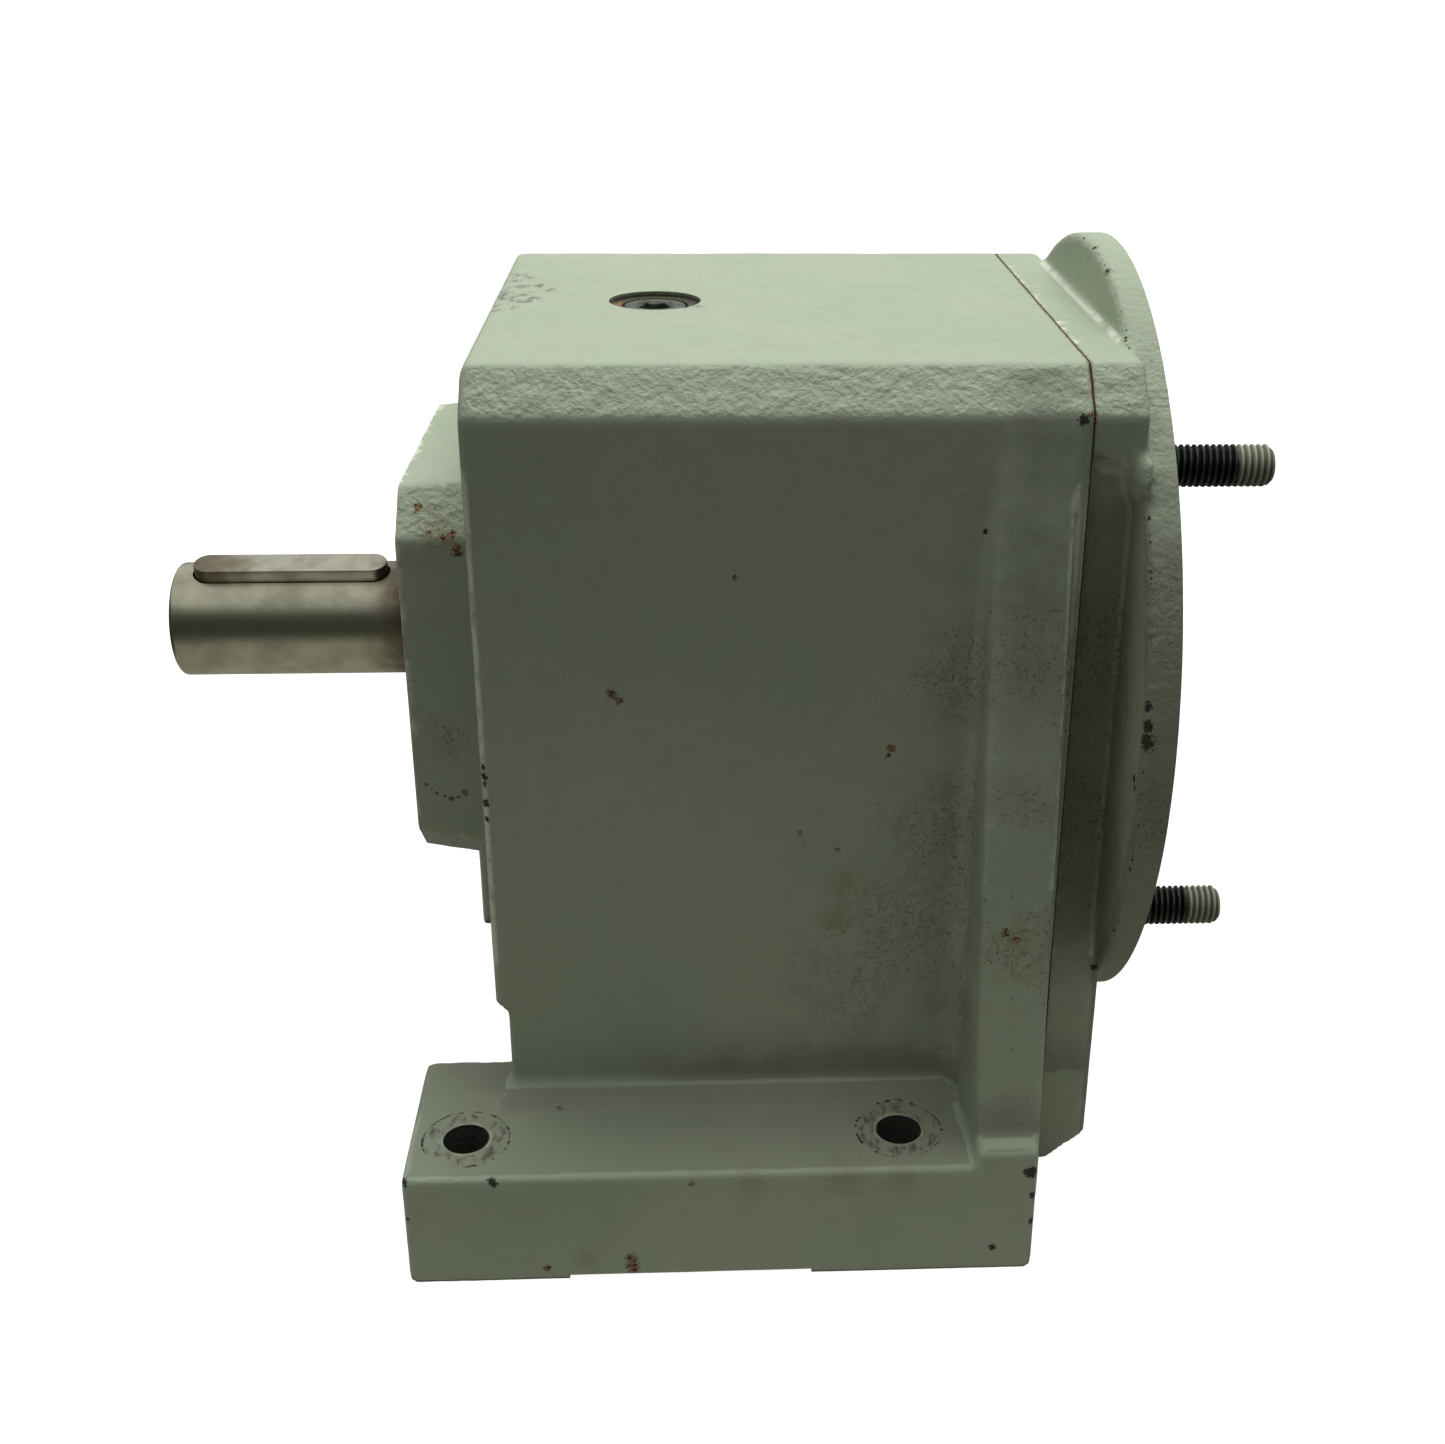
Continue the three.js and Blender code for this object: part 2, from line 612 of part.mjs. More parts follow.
function shaftKeySlot(key) {
  const open = key.top + 5;
  return keySlot(key, [key.left - 0.1, key.right + 0.1], [key.floor - FIT, open]);
}

// a bar with round ends, standing on the shaft's upper side and turned about the shaft
function roundEnded(gap, [z0, z1]) {
  const { left, right, half, turn } = SHAFT_KEY;
  const side = half + gap;
  const ends = [left + half, right - half];
  const body = box(ends, [-side, side], [z0, z1]);
  return join(body, ...ends.map((x) => upright(side, [x, 0], [z0, z1], 16))).rotate([turn, 0, 0]);
}

// ---------------------------------------------------------------- shafts and their wheels
function outputShaft() {
  const keyway = roundEnded(0.06, [SHAFT_KEY.floor - FIT, SHAFT_KEY.top + 2]);
  return cut(stepped(OUTPUT_SHAFT), keyway, shaftKeySlot(WHEEL_KEY));
}

function counterShaft() {
  const pinion = helicalGear(SECOND, 'pinion', { hand: -1, z: STEPDOWN, pointsUp: true });
  return cut(join(stepped(COUNTER_SHAFT, STEPDOWN), pinion), shaftKeySlot(COUNTER_KEY));
}

function inputShaft() {
  const pinion = helicalGear(FIRST, 'pinion', { hand: 1, z: 0, pointsUp: false });
  const [, end] = INPUT_SHAFT.steps.at(-1);
  const bore = [end - QUILL.depth, end + OPEN];
  const keyway = box(bore, [-QUILL.keyHalf, QUILL.keyHalf], [0, QUILL.keyTop]);
  return cut(join(stepped(INPUT_SHAFT), pinion), bar(bore, QUILL.radius), keyway);
}

// ---------------------------------------------------------------- the assembly
const PAINT = { color: 0x9aa38f, roughness: 0.62, metalness: 0.1 };
const STEEL = { color: 0xb4b2ab, roughness: 0.3, metalness: 0.95 };
const GEAR_STEEL = { color: 0x8d8f90, roughness: 0.35, metalness: 0.9 };
const BLACK_STEEL = { color: 0x26272a, roughness: 0.5, metalness: 0.7 };
const CAST_IRON = { color: 0x5b5c5a, roughness: 0.75, metalness: 0.5 };
const RUBBER = { color: 0x2a2622, roughness: 0.8, metalness: 0 };
const PAPER = { color: 0x6b4a2b, roughness: 0.9, metalness: 0 };
const BRASS = { color: 0xa98a4e, roughness: 0.4, metalness: 0.9 };

const gearbox = new THREE.Group();

function place(name, manifold, look) {
  const mesh = new THREE.Mesh(toGeometry(manifold), new THREE.MeshStandardMaterial(look));
  mesh.name = name;
  gearbox.add(mesh);
}

place('housing', housing(), PAINT);
place('input_cover', inputCover(), PAINT);
place('cover_gasket', coverGasket(), PAPER);
place('bearing_plate', bearingPlate(), CAST_IRON);
PLATE_SCREWS.forEach((at, i) => {
  place(`plate_screw_${i + 1}`, lowHeadScrew(PLATE_SCREW.tip, PLATE.right, at), BLACK_STEEL);
});
COVER_SCREWS.forEach((at, i) => {
  place(`cover_screw_${i + 1}`, lowHeadScrew(COVER_SCREW.tip, seatOf(at), at), BLACK_STEEL);
});
DOWELS.forEach((z, i) => place(`cover_dowel_${i + 1}`, dowel(z), STEEL));
studPlaces().forEach((at, i) => place(`motor_stud_${i + 1}`, motorStud(at), BLACK_STEEL));
for (const [name, spec] of Object.entries(PLUG_PLACES)) place(name, plug(spec), BLACK_STEEL);
for (const [name, span] of Object.entries(SEALS)) place(name, lipSeal(span), RUBBER);

place('output_shaft', outputShaft(), STEEL);
place('output_key', roundEnded(0, [SHAFT_KEY.floor, SHAFT_KEY.top]), STEEL);
place(
  'output_wheel',
  keyedWheel(SECOND, { hand: 1, z: 0, pointsUp: false }, WHEEL_SEAT, WHEEL_KEY),
  GEAR_STEEL,
);
place('output_wheel_key', squareKey(WHEEL_KEY), STEEL);

place('counter_shaft', counterShaft(), GEAR_STEEL);
place(
  'first_stage_wheel',
  keyedWheel(FIRST, { hand: -1, z: STEPDOWN, pointsUp: true }, COUNTER_SEAT, COUNTER_KEY),
  GEAR_STEEL,
);
place('first_stage_wheel_key', squareKey(COUNTER_KEY), STEEL);

place('input_shaft', inputShaft(), GEAR_STEEL);
for (const [name, { left, right, inner, outer, z }] of Object.entries(SPACERS)) {
  place(name, ring([left, right], inner + FIT, outer, [0, z]), STEEL);
}

for (const [name, bearing] of Object.entries(BEARINGS)) {
  place(`${name}_outer_ring`, outerRace(bearing), STEEL);
  place(`${name}_inner_ring`, innerRace(bearing), STEEL);
  place(`${name}_balls`, ballsAndCage(bearing), BRASS);
}

gearbox.position.set(-(OUTPUT_SHAFT.tip + STUD.tip) / 2, 0, SHAFT_HEIGHT);

export default gearbox;
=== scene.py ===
"""Looks for the inline gearbox: painted casting, ground output shaft, threaded motor studs and gear train.

Shapes are worked out in millimetres from the casing's end wall and the output axis, as a drawing would
give them, and put into the row frame in metres by to_row().
"""
import math

import bmesh
import bpy
import numpy as np
from mathutils import Matrix, Vector, noise


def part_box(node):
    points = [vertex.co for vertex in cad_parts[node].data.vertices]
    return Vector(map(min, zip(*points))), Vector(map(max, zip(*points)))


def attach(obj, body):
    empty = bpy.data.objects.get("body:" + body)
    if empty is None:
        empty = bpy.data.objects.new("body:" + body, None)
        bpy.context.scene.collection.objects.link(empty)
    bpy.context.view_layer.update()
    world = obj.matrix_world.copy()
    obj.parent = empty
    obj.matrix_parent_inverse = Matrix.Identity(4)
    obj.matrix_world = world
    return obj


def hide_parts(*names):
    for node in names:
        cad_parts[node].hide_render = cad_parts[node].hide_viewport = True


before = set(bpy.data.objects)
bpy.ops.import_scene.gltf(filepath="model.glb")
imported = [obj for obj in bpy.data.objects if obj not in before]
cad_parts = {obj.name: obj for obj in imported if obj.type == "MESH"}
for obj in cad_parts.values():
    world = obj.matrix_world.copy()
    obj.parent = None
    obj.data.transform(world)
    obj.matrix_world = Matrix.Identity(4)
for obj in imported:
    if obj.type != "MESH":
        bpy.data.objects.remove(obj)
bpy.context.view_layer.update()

MM = 0.001

# ---------- where things are
SEAM = 137.0  # casing length, end wall to cover joint
GASKET = 0.4
HALF_WIDTH, TOP, BELLY, EDGE = 76.5, 84.5, -124.0, 9.5
FOOT_LEFT, FOOT_RIGHT, FOOT_OUTER, FOOT_INNER = -21.0, 131.5, 107.0, 59.0
FOOT_TOP, FOOT_BOTTOM = -101.0, -132.0
FOOT_HOLES = [(x, y) for x in (-7.0, 99.0) for y in (-92.0, 92.0)]
BOSS_FACE, BOSS_HALF, BOSS_CORNER = -20.0, 48.2, 10.6
COVER_RIGHT, FLANGE_FACE, FLANGE_RADIUS, RIM = 149.5, 156.0, 100.0, 7.5
STUD_AT, STUD_TIP, STUD_ROOT, STUD_RADIUS, STUD_PITCH = 58.34, 183.0, 141.0, 4.92, 1.5
SHAFT_TIP, SHAFT_RADIUS = -86.0, 15.0
KEY_FLOOR, KEY_TURN = 11.0, 15.0  # keyway floor above the axis, and the key's turn from upright in degrees
STEPDOWN = -60.0
STUDS = [(y * STUD_AT, z * STUD_AT) for y, z in ((-1, 1), (1, 1), (-1, -1), (1, -1))]
PLATE_SCREWS = [(-59, 65), (59, 65), (-59, -104), (59, -104)]
COVER_SCREWS = [(-30, 72), (30, 72), (-64.5, -25), (64.5, -25), (-62, -106), (62, -106)]
DOWELS = (80.2, -119.5)
# each plug's casing face, its place on that face, and the direction it faces
PLUGS = {
    "filler": (TOP, (41, 0), "Z"),
    "level": (HALF_WIDTH, (95, -30), "Y"),
    "drain": (HALF_WIDTH, (95, -100), "Y"),
}
SEAL_SEAT, LARGE_SEAT, SMALL_SEAT = 36.6, 36.05, 20.05  # bore radii in the castings
SCREW_SEAT_DEPTH = 6.0

# the gasket starts 0.02 mm past the casing's joint face, and the output wheel turns about the output axis
END_WALL_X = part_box("cover_gasket")[0].x - (SEAM + 0.02) * MM
AXIS_Z = sum(corner.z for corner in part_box("output_wheel")) / 2
TO_ROW = Matrix.Translation((END_WALL_X, 0, AXIS_Z)) @ Matrix.Scale(MM, 4)


# ---------- mesh helpers (millimetres)
def mesh_object(name, verts, faces):
    mesh = bpy.data.meshes.new(name)
    mesh.from_pydata([tuple(map(float, v)) for v in verts], [], [tuple(map(int, f)) for f in faces])
    mesh.update()
    piece = bpy.data.objects.new(name, mesh)
    bpy.context.scene.collection.objects.link(piece)
    return piece


def outward(piece):
    """Turns every face outward and returns the piece."""
    bm = bmesh.new()
    bm.from_mesh(piece.data)
    bmesh.ops.recalc_face_normals(bm, faces=bm.faces)
    bm.to_mesh(piece.data)
    bm.free()
    return piece


def lathe(profile, sides=96, centre=(0.0, 0.0), axis="X", closed=False):
    """A body of revolution from (along, radius) points, about a line along axis.

    centre is where that line lies in the other two directions. A closed profile is a loop clear of the line.
    """
    verts, rows = [], []
    for along, radius in profile:
        if radius < 1e-6:
            rows.append([len(verts)])
            verts.append((along, 0.0, 0.0))
            continue
        rows.append(list(range(len(verts), len(verts) + sides)))
        for i in range(sides):
            turn = 2 * math.pi * i / sides
            verts.append((along, radius * math.sin(turn), radius * math.cos(turn)))
    faces = []
    following = rows[1:] + (rows[:1] if closed else [])
    for a, b in zip(rows, following):
        for i in range(sides):
            j = (i + 1) % sides
            if len(a) == 1:
                faces.append((a[0], b[j], b[i]))
            elif len(b) == 1:
                faces.append((a[i], a[j], b[0]))
            else:
                faces.append((a[i], a[j], b[j], b[i]))
    piece = outward(mesh_object("lathe", verts, faces))
    turned = {"X": Matrix.Identity(4), "Z": Matrix.Rotation(-math.pi / 2, 4, "Y"),
              "Y": Matrix.Rotation(math.pi / 2, 4, "Z")}[axis]
    offset = {"X": (0, *centre), "Z": (*centre, 0), "Y": (centre[0], 0, centre[1])}[axis]
    piece.data.transform(Matrix.Translation(offset) @ turned)
    return piece


def rod(x0, x1, radius, centre=(0.0, 0.0), sides=64, axis="X"):
    return lathe([(x0, 0), (x0, radius), (x1, radius), (x1, 0)], sides, centre, axis)


def prism(x0, x1, outline):
    """An outline of (y, z) points stretched along X."""
    count = len(outline)
    verts = [(x, y, z) for x in (x0, x1) for y, z in outline]
    sides = [(i, (i + 1) % count, (i + 1) % count + count, i + count) for i in range(count)]
    faces = [tuple(range(count)), tuple(range(count, 2 * count)), *sides]
    return outward(mesh_object("prism", verts, faces))


def block(x0, x1, y0, y1, z0, z1):
    return prism(x0, x1, [(y0, z0), (y1, z0), (y1, z1), (y0, z1)])


def hull(points):
    piece = mesh_object("hull", points, [])
    bm = bmesh.new()
    bm.from_mesh(piece.data)
    bmesh.ops.convex_hull(bm, input=bm.verts)
    loose = [v for v in bm.verts if not v.link_faces]
    bmesh.ops.delete(bm, geom=loose, context="VERTS")
    bmesh.ops.recalc_face_normals(bm, faces=bm.faces)
    bm.to_mesh(piece.data)
    bm.free()
    return piece


def soft_block(x0, x1, y0, y1, z0, z1, cut):
    """A box with every edge cut off, which the cast skin then rounds."""
    points = []
    for kept in range(3):
        a, b, c = (0 if axis == kept else cut for axis in range(3))
        points += [(x, y, z) for x in (x0 + a, x1 - a) for y in (y0 + b, y1 - b) for z in (z0 + c, z1 - c)]
    return hull(points)


def mirrored(piece):
    """The same piece on the other side of the middle plane, and the piece itself."""
    other = mesh_object(piece.name, [], [])
    other.data = piece.data.copy()
    other.data.transform(Matrix.Scale(-1, 4, (0, 1, 0)))
    return [piece, outward(other)]


def soup(pieces):
    """One mesh that holds every piece as it is, for a remesh or for cutters that don't touch."""
    whole = bmesh.new()
    for piece in pieces:
        whole.from_mesh(piece.data)
        bpy.data.objects.remove(piece)
    joined = mesh_object("soup", [], [])
    whole.to_mesh(joined.data)
    whole.free()
    return joined


def settle(piece):
    """Applies the piece's modifiers to its mesh."""
    bpy.context.view_layer.update()
    graph = bpy.context.evaluated_depsgraph_get()
    final = bpy.data.meshes.new_from_object(piece.evaluated_get(graph))
    piece.modifiers.clear()
    old, piece.data = piece.data, final
    bpy.data.meshes.remove(old)
    return piece


def boolean(piece, tool, operation="DIFFERENCE"):
    change = piece.modifiers.new("boolean", "BOOLEAN")
    change.operation, change.object, change.solver = operation, tool, "MANIFOLD"
    settle(piece)
    bpy.data.objects.remove(tool)
    return piece


def triangulate(piece):
    piece.modifiers.new("triangles", "TRIANGULATE")
    return settle(piece)


def finish_piece(piece, name, body, material, replaces=(), sharp=35):
    """Names a piece, puts it in the row frame, shades it smooth up to an angle and rides it on its body."""
    piece.name = name
    piece.data.name = name
    piece.data.transform(TO_ROW)
    piece.data.shade_smooth()
    piece.data.set_sharp_from_angle(angle=math.radians(sharp))
    piece.data.materials.clear()
    piece.data.materials.append(material)
    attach(piece, body)
    if replaces:
        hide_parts(*replaces)
    return piece


# ---------- cast skin
def coordinates(mesh):
    points = np.zeros(len(mesh.vertices) * 3)
    mesh.vertices.foreach_get("co", points)
    return points.reshape(-1, 3)


def normals(mesh):
    values = np.zeros(len(mesh.vertices) * 3)
    mesh.vertex_normals.foreach_get("vector", values)
    return values.reshape(-1, 3)


def smoothstep(low, high, value):
    t = np.clip((value - low) / (high - low), 0, 1)
    return t * t * (3 - 2 * t)


def lumps(points, size, seed):
    """Smooth random values from -1 to 1 at each point, with features about size millimetres across."""
    shift = Vector((seed * 17.3, seed * 5.1, seed * 9.7))
    return np.array([noise.noise(Vector(p) / size + shift) for p in points])


def cut_edges(points, facing):
    """1 on the sloping edges along the top and round the output boss, where the sand left a coarse skin."""
    slope = smoothstep(0.45, 0.62, np.minimum(np.abs(facing[:, 1]), np.abs(facing[:, 2])))
    along_top = points[:, 2] > TOP - EDGE - 1
    round_boss = points[:, 0] < -1
    return slope * (along_top | round_boss)


def cast_skin(piece, voxel, rounds, keep):
    """Rounds the edges as on a casting, then gives the skin sand-cast relief, coarse on the sloping edges."""
    remesh = piece.modifiers.new("remesh", "REMESH")
    remesh.mode, remesh.voxel_size = "VOXEL", voxel
    soften = piece.modifiers.new("soften", "SMOOTH")
    soften.factor, soften.iterations = 0.5, rounds
    settle(piece)
    mesh = piece.data
    points, facing = coordinates(mesh), normals(mesh)
    wavy = 0.07 * lumps(points, 16, 1) + 0.03 * lumps(points, 5, 2)
    coarse = 0.22 * lumps(points, 3.2, 3)
    points = points + facing * (wavy + cut_edges(points, facing) * coarse)[:, None]
    mesh.vertices.foreach_set("co", points.ravel())
    thin = piece.modifiers.new("thin", "DECIMATE")
    thin.ratio = keep
    return triangulate(piece)


def casing_outline(half_width=HALF_WIDTH, top=TOP, bottom=BELLY, edge=EDGE):
    side, crown = half_width, half_width - edge
    return [(-side, bottom), (side, bottom), (side, top - edge), (crown, top), (-crown, top),
            (-side, top - edge)]


# ---------- housing
def main_body():
    """The box of the casing above the set-back, with its end wall's edges rounded."""
    points = []
    for x, inset in ((0, 1.9), (0.6, 0.6), (1.9, 0), (SEAM + 3, 0)):
        outline = casing_outline(HALF_WIDTH - inset, TOP - inset, -74, EDGE - 0.586 * inset)
        points += [(x, y, z) for y, z in outline]
    return hull(points)


def boss_block():
    """The eight-sided output boss, a little wider at its root and more so underneath."""
    points = []
    for x, half, drop in ((BOSS_FACE - 3, BOSS_HALF, 0), (4.0, BOSS_HALF + 1.9, 2.2)):
        short = half - BOSS_CORNER
        for a, b in ((short, half), (half, short)):
            points += [(x, a * side, z) for side in (-1, 1) for z in (b, -b - drop)]
    return hull(points)


def rib_blocks():
    """The rib beside the joint, flush at the top and flared at the foot, with its ledge and left fillet."""
    inner = -HALF_WIDTH + 3
    upright = hull([
        (117.4, -76.9, 72), (134, -76.9, 72), (115.5, inner, 73), (135, inner, 73),
        (116.6, -101.6, -97), (132.2, -101.6, -97), (114.4, inner, -97), (135, inner, -97),
        (116.6, -101.6, -104), (132.2, -101.6, -104), (114.4, inner, -104), (135, inner, -104),
    ])
    ledge = soft_block(116.4, FOOT_RIGHT, -FOOT_OUTER, inner, -112, -96.9, 0.7)
    fillet = hull([
        (109, inner, 45), (118, inner, 45), (117, -78.8, 40),
        (106.5, inner, -99), (118, inner, -99), (116.6, -81.2, -99),
    ])
    return [upright, ledge, fillet]


def foot_blocks():
    """The foot bar, and the cast step that runs along the wall and into the rib."""
    bar = soft_block(FOOT_LEFT, FOOT_RIGHT, -FOOT_OUTER, -FOOT_INNER, FOOT_BOTTOM - 1, FOOT_TOP, 1.1)
    wall = -HALF_WIDTH
    step = hull([(x, y, z) for x in (1, 117) for y, z in (
        (wall - 4.8, FOOT_TOP - 1), (wall - 4.6, FOOT_TOP + 1.1), (wall - 3.8, FOOT_TOP + 1.9),
        (wall - 1.2, FOOT_TOP + 2.5), (wall + 1, FOOT_TOP + 6), (wall + 1, FOOT_TOP - 1))])
    return [bar, step]


def plug_cutter(face, at, axis):
    """The threaded hole for a plug, in a round recess."""
    profile = [(-20, 0), (-20, 8.35), (-1.2, 8.35), (-1.2, 11.5), (2, 11.5), (2, 0)]
    return lathe([(face + along, radius) for along, radius in profile], 64, at, axis)


def output_bore():
    """The bore through the output boss: seal seat, bearing seat and shoulder."""
    mouth = BOSS_FACE
    return lathe([(mouth - 5, 0), (mouth - 5, SEAL_SEAT), (mouth, SEAL_SEAT), (mouth + 0.6, LARGE_SEAT),
                  (8.1, LARGE_SEAT), (8.1, 31), (14, 31), (14, 0)], 128)


def housing_core():
    """The oil space, with the columns and bosses standing in it."""
    core = prism(9, SEAM + 3, casing_outline(69.5, 76, -115, 6.5))
    for at in PLATE_SCREWS:
        boolean(core, rod(5, 56.8, 11.3, at, 24))
    for at in COVER_SCREWS:
        boolean(core, rod(106, 150, 9.8, at, 24))
    boolean(core, rod(0, 23, 26, (0, STEPDOWN), 48))
    boolean(core, rod(TOP - 14, TOP + 3, 14, (41, 0), 32, "Z"))
    return core


def housing():
    body = soup([
        main_body(),
        block(3, SEAM + 3, -HALF_WIDTH, HALF_WIDTH, BELLY, -70),
        boss_block(),
        *[side for piece in rib_blocks() + foot_blocks() for side in mirrored(piece)],
    ])
    cast_skin(body, voxel=1.2, rounds=4, keep=0.4)
    boolean(body, soup([
        block(-40, BOSS_FACE, -57, 57, -57, 57),
        block(SEAM, 160, -120, 120, -130, 110),
        block(-40, 160, -120, 120, -150, FOOT_BOTTOM),
    ]))
    boolean(body, soup([
        housing_core(),
        *[rod(FOOT_BOTTOM - 2, FOOT_TOP + 6, 5.5, at, 48, "Z") for at in FOOT_HOLES],
        block(18, 77, -108.5, -60, FOOT_BOTTOM - 1, FOOT_BOTTOM + 1.2),
        block(18, 77, 60, 108.5, FOOT_BOTTOM - 1, FOOT_BOTTOM + 1.2),
    ]))
    boolean(body, soup([
        output_bore(),
        rod(10.8, 24, SMALL_SEAT, (0, STEPDOWN), 96),
        *[plug_cutter(*plug) for plug in PLUGS.values()],
        *[rod(34, 58, 4.05, at, 32) for at in PLATE_SCREWS],
        *[rod(112, 140, 4.05, at, 32) for at in COVER_SCREWS],
        *[rod(130.8, 140, 2.55, (0, z), 32) for z in DOWELS],
    ]))
    return body


# ---------- input cover
def seat_level(at):
    """How far out a cover screw's head sits: under the flange if it is inside the flange's radius."""
    face = COVER_RIGHT if math.hypot(*at) > FLANGE_RADIUS else FLANGE_FACE
    return face - SCREW_SEAT_DEPTH


def screw_hole(at):
    seat = seat_level(at)
    return lathe([(130, 0), (130, 4.3), (seat, 4.3), (seat, 7.3), (170, 7.3), (170, 0)], 48, at)


def input_cover():
    """The square cover with its waist and flange, and the soft lump under each upper corner."""
    plate = prism(134, COVER_RIGHT, casing_outline())
    for side in (-1, 1):
        inner, outer = side * 72.5, side * 90
        boolean(plate, hull([
            (130, inner, 65.5), (130, outer, 70), (148.5, inner, 59.8), (148.5, outer, 78),
            (130, inner, -58), (148.5, inner, -58), (130, outer, -119), (148.5, outer, -119),
        ]))
    under = [(2, -3), (2, 8.5), (-0.4, 8), (-1.5, 6.3), (-10.5, -0.5), (-10.5, -3)]
    boolean(plate, hull([(COVER_RIGHT + x, y, BELLY + z) for y in (-95, 95) for x, z in under]))
    back = FLANGE_FACE - RIM
    disc = lathe([(148.2, 0), (148.2, 77), (back, 99.4), (back + 0.6, FLANGE_RADIUS),
                  (FLANGE_FACE + 3, FLANGE_RADIUS), (FLANGE_FACE + 3, 0)], 192)
    lump = hull([(150, -82.5, 66), (150, -71, 66), (144.5, -72.6, 63), (149, -83.5, 60), (150, -71, 50),
                 (148.6, -77, 53), (145, -72, 58)])
    body = soup([plate, disc, *mirrored(lump)])
    cast_skin(body, voxel=1.15, rounds=4, keep=0.42)
    boolean(body, soup([
        block(120, SEAM + GASKET, -120, 120, -140, 120),
        block(FLANGE_FACE, 180, -120, 120, -140, 120),
    ]))
    boolean(body, rod(103.4, SEAM + GASKET + 3, 43, (0, 0), 128), "UNION")
    boolean(body, rod(122.4, SEAM + GASKET + 3, 26, (0, STEPDOWN), 96), "UNION")
    boolean(body, soup([
        register_bore(),
        rod(120, 136.2, SMALL_SEAT, (0, STEPDOWN), 96),
        *[rod(STUD_ROOT - 1, 170, 5.0, at, 48) for at in STUDS],
        *[screw_hole(at) for at in COVER_SCREWS],
        *[rod(130, 140.2, 2.55, (0, z), 32) for z in DOWELS],
    ]))
    return body


def register_bore():
    """The 130 mm register in the flange face, and the input bearings' bore behind it."""
    register, face = FLANGE_FACE - 4.5, FLANGE_FACE
    return lathe([(100, 0), (100, 31), (105.3, 31), (105.3, LARGE_SEAT), (register, LARGE_SEAT),
                  (register, 64.6), (register + 0.4, 65), (face - 0.5, 65), (face + 1, 66.4),
                  (face + 1, 0)], 192)


# ---------- studs, screws and plugs
def threaded_stud(at, sides=40, per_pitch=10):
    """A stud with a true helical thread: the radius falls and rises once for each pitch and turn."""
    length = STUD_TIP - STUD_ROOT
    rows = int(length / STUD_PITCH * per_pitch)
    depth = 0.6 * STUD_PITCH
    verts, valleys = [], []
    for row in range(rows + 1):
        x = STUD_ROOT + length * row / rows
        to_end = STUD_TIP - x
        cone = STUD_RADIUS - max(0.0, 1.3 - to_end) * 0.95
        for i in range(sides):
            turn = 2 * math.pi * i / sides
            phase = (x / STUD_PITCH - i / sides) % 1.0
            valley = min(1.0, max(0.0, 1.25 - abs(phase - 0.5) * 3.2))
            valley = valley * valley * (3 - 2 * valley)
            radius = min(STUD_RADIUS - depth * valley, cone)
            verts.append((x, at[0] + radius * math.sin(turn), at[1] + radius * math.cos(turn)))
            valleys.append(valley)
    faces = []
    for row in range(rows):
        for i in range(sides):
            j = (i + 1) % sides
            low, high = row * sides, (row + 1) * sides
            faces.append((low + i, low + j, high + j, high + i))
    faces += [tuple(range(sides)), tuple(range(rows * sides, (rows + 1) * sides))]
    stud = outward(mesh_object("stud", verts, faces))
    write_mask(stud.data, "valley", np.array(valleys))
    return stud


def low_head_screw(tip, under_head, at):
    top = under_head + 5
    screw = lathe([(tip, 0), (tip, 3.3), (tip + 0.8, 4), (under_head + 0.02, 4), (under_head + 0.02, 6.2),
                   (under_head + 0.4, 6.5), (top - 0.7, 6.5), (top, 5.8), (top, 0)], 64, at)
    return boolean(screw, hex_hole(top - 3, top + 1, 5, at))


def hex_hole(x0, x1, across_flats, at, axis="X"):
    return lathe([(x0, 0), (x0, across_flats / math.sqrt(3)), (x1, across_flats / math.sqrt(3)), (x1, 0)],
                 6, at, axis)


def pipe_plug(face, at, axis):
    """A headless taper plug with a hexagon socket whose mouth is broken by a small chamfer."""
    top = face - 1.2
    plug = lathe([(top - 10, 0), (top - 10, 7.4), (top - 9.2, 8.0), (top - 0.9, 8.3), (top, 7.5), (top, 0)],
                 96, at, axis)
    mouth = lathe([(top - 0.6, 0), (top - 0.6, 4.1), (top + 0.5, 5.6), (top + 0.5, 0)], 48, at, axis)
    boolean(plug, hex_hole(top - 5, top + 1, 8, at, axis))
    return boolean(plug, mouth)


# ---------- shafts and keys
def slot_cutter(half, left, right, floor, top, turn):
    """A round-ended bar that reaches half to each side, from floor to top, turned about X by turn degrees."""
    ends = [rod(floor, top, half, (x, 0), 48, "Z") for x in (left + half, right - half)]
    cutter = block(left + half, right - half, -half, half, floor, top)
    for end in ends:
        boolean(cutter, end, "UNION")
    cutter.data.transform(Matrix.Rotation(math.radians(turn), 4, "X"))
    return cutter


def output_shaft():
    shaft = lathe([
        (SHAFT_TIP, 0), (SHAFT_TIP, 13.9), (SHAFT_TIP + 0.25, 14.35), (SHAFT_TIP + 0.7, 14.8),
        (SHAFT_TIP + 1.3, SHAFT_RADIUS), (-20.2, SHAFT_RADIUS), (-20.2, 17.0), (-19.7, 17.5), (8.4, 17.5),
        (8.4, 22), (24.6, 22), (24.6, 17), (49.4, 17), (49.4, 12.5), (72, 12.5), (72.5, 12), (72.5, 0)], 160)
    drill = [(-1, 0), (-1, 4.6), (2.6, 2.6), (9, 2.5), (10.5, 0)]
    centre_drill = lathe([(SHAFT_TIP + depth, radius) for depth, radius in drill], 48)
    boolean(shaft, centre_drill)
    boolean(shaft, slot_cutter(4.3, -80.9, -29.7, KEY_FLOOR, 22, KEY_TURN))
    wheel_slot = block(26.9, 47.1, -5.05, 5.05, 11.95, 25)
    return boolean(shaft, wheel_slot)


